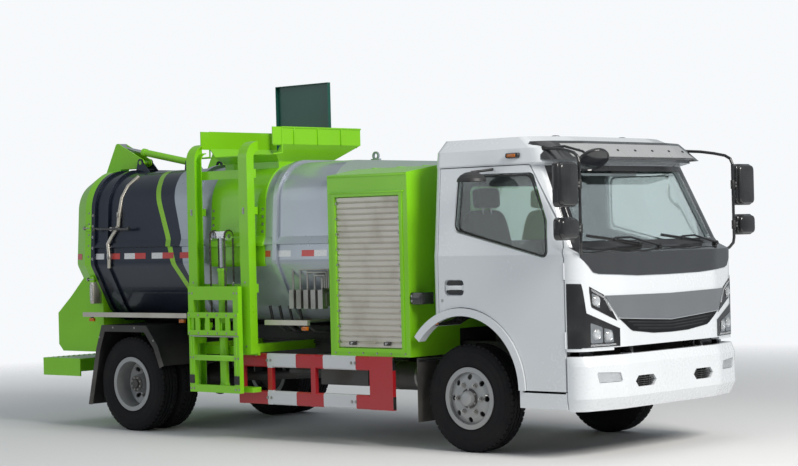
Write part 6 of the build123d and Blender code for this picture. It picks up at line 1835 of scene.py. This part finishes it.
@dataclass
class Seats:
    """Two padded seats that stand for the plain ones.

    A pad is its name, its middle from the seat's foot, its size, its lean, its crown and its fill.
    """

    places: tuple[float, ...] = (0.56, -0.56)
    base_z: float = 1.0853
    power: float = 6.0
    seams: tuple[float, float] = (-0.52, 0.52)
    seam_spread: float = 0.0012
    seam_depth: float = 0.006
    pads: tuple[tuple[str, tuple[float, float], Colour, float, float, float], ...] = (
        ("seat_cushion", (2.140, 0.072), (0.48, 0.48, 0.130), -0.02, 0.012, 0.7),
        ("seat_back", (1.822, 0.405), (0.095, 0.46, 0.62), -math.atan2(0.155, 0.60), 0.012, 0.7),
        ("seat_headrest", (1.7875, 0.800), (0.085, 0.25, 0.150), -0.05, 0.008, 0.8))

    def pad(self, name: str, middle: Vector, size: Vector, lean: float, crown: float,
            store: Finishes) -> bpy.types.Object:
        """Crowned cushion with rounded corners and sewn channels.

        Args:
            name: Object name.
            middle: Its middle.
            size: Its lengths along X, Y and Z before it leans.
            lean: Turn about Y in radians.
            crown: Height of the crown on its thin axis.
            store: The materials.

        Returns:
            The cushion.
        """
        piece = Piece(name, Look.SEAT, Look.SEAL)
        bmesh.ops.create_cube(piece.mesh, size=2.0)
        bmesh.ops.subdivide_edges(piece.mesh, edges=piece.mesh.edges[:], cuts=22, use_grid_fill=True)
        thin = min(range(3), key=lambda axis: size[axis])
        wide = [axis for axis in range(3) if axis != thin]
        across = wide[1] == 1
        for vert in piece.mesh.verts:
            p = vert.co.copy()
            p *= max(abs(c) for c in p) / sum(abs(c) ** self.power for c in p) ** (1.0 / self.power)
            u, v = p[wide[0]], p[wide[1]]
            dome = (1.0 - u * u) * (1.0 - v * v)
            seam = sum(math.exp(-((v if across else u) - line) ** 2 / self.seam_spread) for line in self.seams)
            out = Vector([c * length / 2 for c, length in zip(p, size)])
            rise = dome * crown - seam * self.seam_depth * min(1.0, abs(p[thin]) * 2)
            out[thin] += math.copysign(1.0, p[thin]) * rise
            vert.co = out
        bmesh.ops.transform(piece.mesh, matrix=Matrix.Translation(middle) @ Matrix.Rotation(lean, 4, "Y"),
                            verts=piece.mesh.verts)
        obj = piece.done(store, "cab", "seat_fabric", 60.0)
        return obj

    def build(self, store: Finishes) -> None:
        """Make both seats."""
        cushions = []
        z = self.base_z
        for index, y in enumerate(self.places):
            made = [self.pad(f"{name}_{index}", Vector((x, y, z + up)), Vector(size), lean, crown, store)
                    for name, (x, up), size, lean, crown, fill in self.pads]
            cushions.append(made[0])
            posts = Piece(f"seat_frame_{index}", Look.NUT, Look.HOUSING)
            for dy in (-0.05, 0.05):
                posts.rod((1.792, y + dy, z + 0.670), (1.788, y + dy, z + 0.760), 0.006, 0, 12)
            posts.box((1.93, y - 0.20, z), (2.35, y + 0.20, z + 0.012), 1, 0.004)
            posts.rod((2.02, y + 0.235, z + 0.03), (2.02, y + 0.262, z + 0.03), 0.020, 1, 20, bevel=0.003)
            posts.done(store, "cab", "seat_fabric")
        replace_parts(cushions[0], "seats")


@dataclass
class Studio:
    """Floor, backdrop, soft light and the camera at the photograph's place."""

    eye: Colour = (11.5821, -12.4609, 1.6481)
    yaw: float = 0.732
    pitch: float = -0.0005
    roll: float = -0.0255
    focal_px: float = 2034.6
    width_px: float = 798.0
    sensor_mm: float = 36.0
    floor_half: float = 60.0
    floor_colour: Colour = (0.80, 0.80, 0.80)
    floor_speck: Colour = (0.70, 0.70, 0.70)
    fade_from: float = 20.0
    fade_over: float = 120.0
    sky: tuple[Colour, float] = ((0.86, 0.93, 1.0), 0.34)
    backdrop: tuple[Colour, float] = ((0.93, 0.95, 0.97), 1.0)
    lamps: tuple[tuple[str, Colour, Colour, float, float, Colour], ...] = (
        ("key", (12.0, -2.0, 8.0), (1.0, 0.0, 1.2), 5.0, 1500.0, (1.0, 0.97, 0.92)),
        ("fill", (-6.0, -10.0, 5.0), (0.0, 0.0, 1.0), 7.0, 150.0, (0.94, 0.97, 1.0)),
        ("top", (0.0, 0.0, 11.0), (0.0, 0.0, 0.0), 8.0, 120.0, (1.0, 1.0, 1.0)))

    def camera(self) -> bpy.types.Object:
        """Stand the camera where the photograph was taken.

        Returns:
            The camera object.
        """
        data = bpy.data.cameras.new("camera")
        data.sensor_width = self.sensor_mm
        data.lens = self.focal_px / self.width_px * self.sensor_mm
        data.clip_end = 300.0
        camera = bpy.data.objects.new("camera", data)
        bpy.context.scene.collection.objects.link(camera)
        ahead = Vector((-math.sin(self.yaw) * math.cos(self.pitch), math.cos(self.yaw) * math.cos(self.pitch),
                        math.sin(self.pitch)))
        right = Vector((math.cos(self.yaw), math.sin(self.yaw), 0.0))
        up = right.cross(ahead)
        right_rolled = math.cos(self.roll) * right + math.sin(self.roll) * up
        up_rolled = math.cos(self.roll) * up - math.sin(self.roll) * right
        turn = Matrix((right_rolled, up_rolled, -ahead)).transposed().to_4x4()
        camera.matrix_world = Matrix.Translation(Vector(self.eye)) @ turn
        bpy.context.scene.camera = camera
        return camera

    def floor(self) -> bpy.types.Object:
        """Lay a plain pale floor that fades into the backdrop away from the truck.

        Returns:
            The floor object.
        """
        mesh = bpy.data.meshes.new("floor")
        grid = bmesh.new()
        bmesh.ops.create_grid(grid, x_segments=1, y_segments=1, size=self.floor_half)
        grid.to_mesh(mesh)
        grid.free()
        shader = Shader("floor_pale")
        speck = shader.noise(0.6, 4.0)
        x, y = shader.axis("X"), shader.axis("Y")
        far = ((x * x + y * y - self.fade_from) * (1.0 / self.fade_over)).clamped()
        shader.set(Base_Color=shader.mix(speck * 0.12, self.floor_colour, self.floor_speck), Roughness=0.75,
                   Specular_IOR_Level=0.2, Alpha=1.0 - far)
        mesh.materials.append(shader.material)
        floor = bpy.data.objects.new("floor", mesh)
        bpy.context.scene.collection.objects.link(floor)
        floor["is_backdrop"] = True
        return floor

    def world(self) -> None:
        """Soft sky light on the truck, and a white backdrop to the camera and through glass."""
        world = bpy.data.worlds.new("studio")
        world.use_nodes = True
        bpy.context.scene.world = world
        tree = world.node_tree
        tree.nodes.clear()
        output = tree.nodes.new("ShaderNodeOutputWorld")
        glows = []
        for tint, strength in (self.sky, self.backdrop):
            glow = tree.nodes.new("ShaderNodeBackground")
            glow.inputs[0].default_value = (*tint, 1.0)
            glow.inputs[1].default_value = strength
            glows.append(glow)
        path = tree.nodes.new("ShaderNodeLightPath")
        mix = tree.nodes.new("ShaderNodeMixShader")
        either = tree.nodes.new("ShaderNodeMath")
        either.operation = "MAXIMUM"
        tree.links.new(path.outputs["Is Camera Ray"], either.inputs[0])
        tree.links.new(path.outputs["Is Transmission Ray"], either.inputs[1])
        tree.links.new(either.outputs[0], mix.inputs[0])
        for socket, glow in zip(mix.inputs[1:], glows):
            tree.links.new(glow.outputs[0], socket)
        tree.links.new(mix.outputs[0], output.inputs[0])

    def lamp(self, name: str, place: Colour, target: Colour, size: float, power: float, tint: Colour) -> None:
        """Hang one square soft lamp.

        Args:
            name: Object name.
            place: Where it hangs.
            target: What it faces.
            size: Side of the square in metres.
            power: Watts.
            tint: Colour of its light.
        """
        data = bpy.data.lights.new(name, "AREA")
        data.size = size
        data.energy = power
        data.color = tint
        lamp = bpy.data.objects.new(name, data)
        lamp.location = place
        lamp.rotation_euler = (Vector(target) - Vector(place)).to_track_quat("-Z", "Y").to_euler()
        bpy.context.scene.collection.objects.link(lamp)

    def light(self) -> None:
        """Key from the front right above, a weak fill and a top light."""
        for lamp in self.lamps:
            self.lamp(*lamp)

    def build(self) -> None:
        """Set the whole stage."""
        bpy.context.scene.view_settings.view_transform = "Standard"
        self.camera()
        self.floor()
        self.world()
        self.light()


def dress_frame(finishes: Finishes) -> None:
    """Give every CAD node the finish of its slot.

    Args:
        finishes: The store of materials.
    """
    for subpart in frame["record"]["subparts"]:
        look = NODE_LOOKS.get(subpart["node"], SLOT_LOOKS[subpart["material_slot"]])
        finishes.dress(frame["nodes"][subpart["node"]], look)


def main() -> None:
    """Build the stage and every sub-assembly, then report the pieces."""
    logging.basicConfig(level=logging.INFO)
    Studio().build()
    finishes = Finishes()
    dress_frame(finishes)
    for trim in (Tyres(), WheelNuts(), CabTrim(), DoorTrim(1), DoorTrim(-1), LockerTrim(), TankTrim(), HopperTrim(),
                 LiftTrim(), GuardTrim(), RearTrim(), FrameTrim(), Seats()):
        trim.build(finishes)
    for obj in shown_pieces():
        LOG.info("%s: %d faces", obj.name, len(obj.data.polygons))


if __name__ == "__main__":
    main()
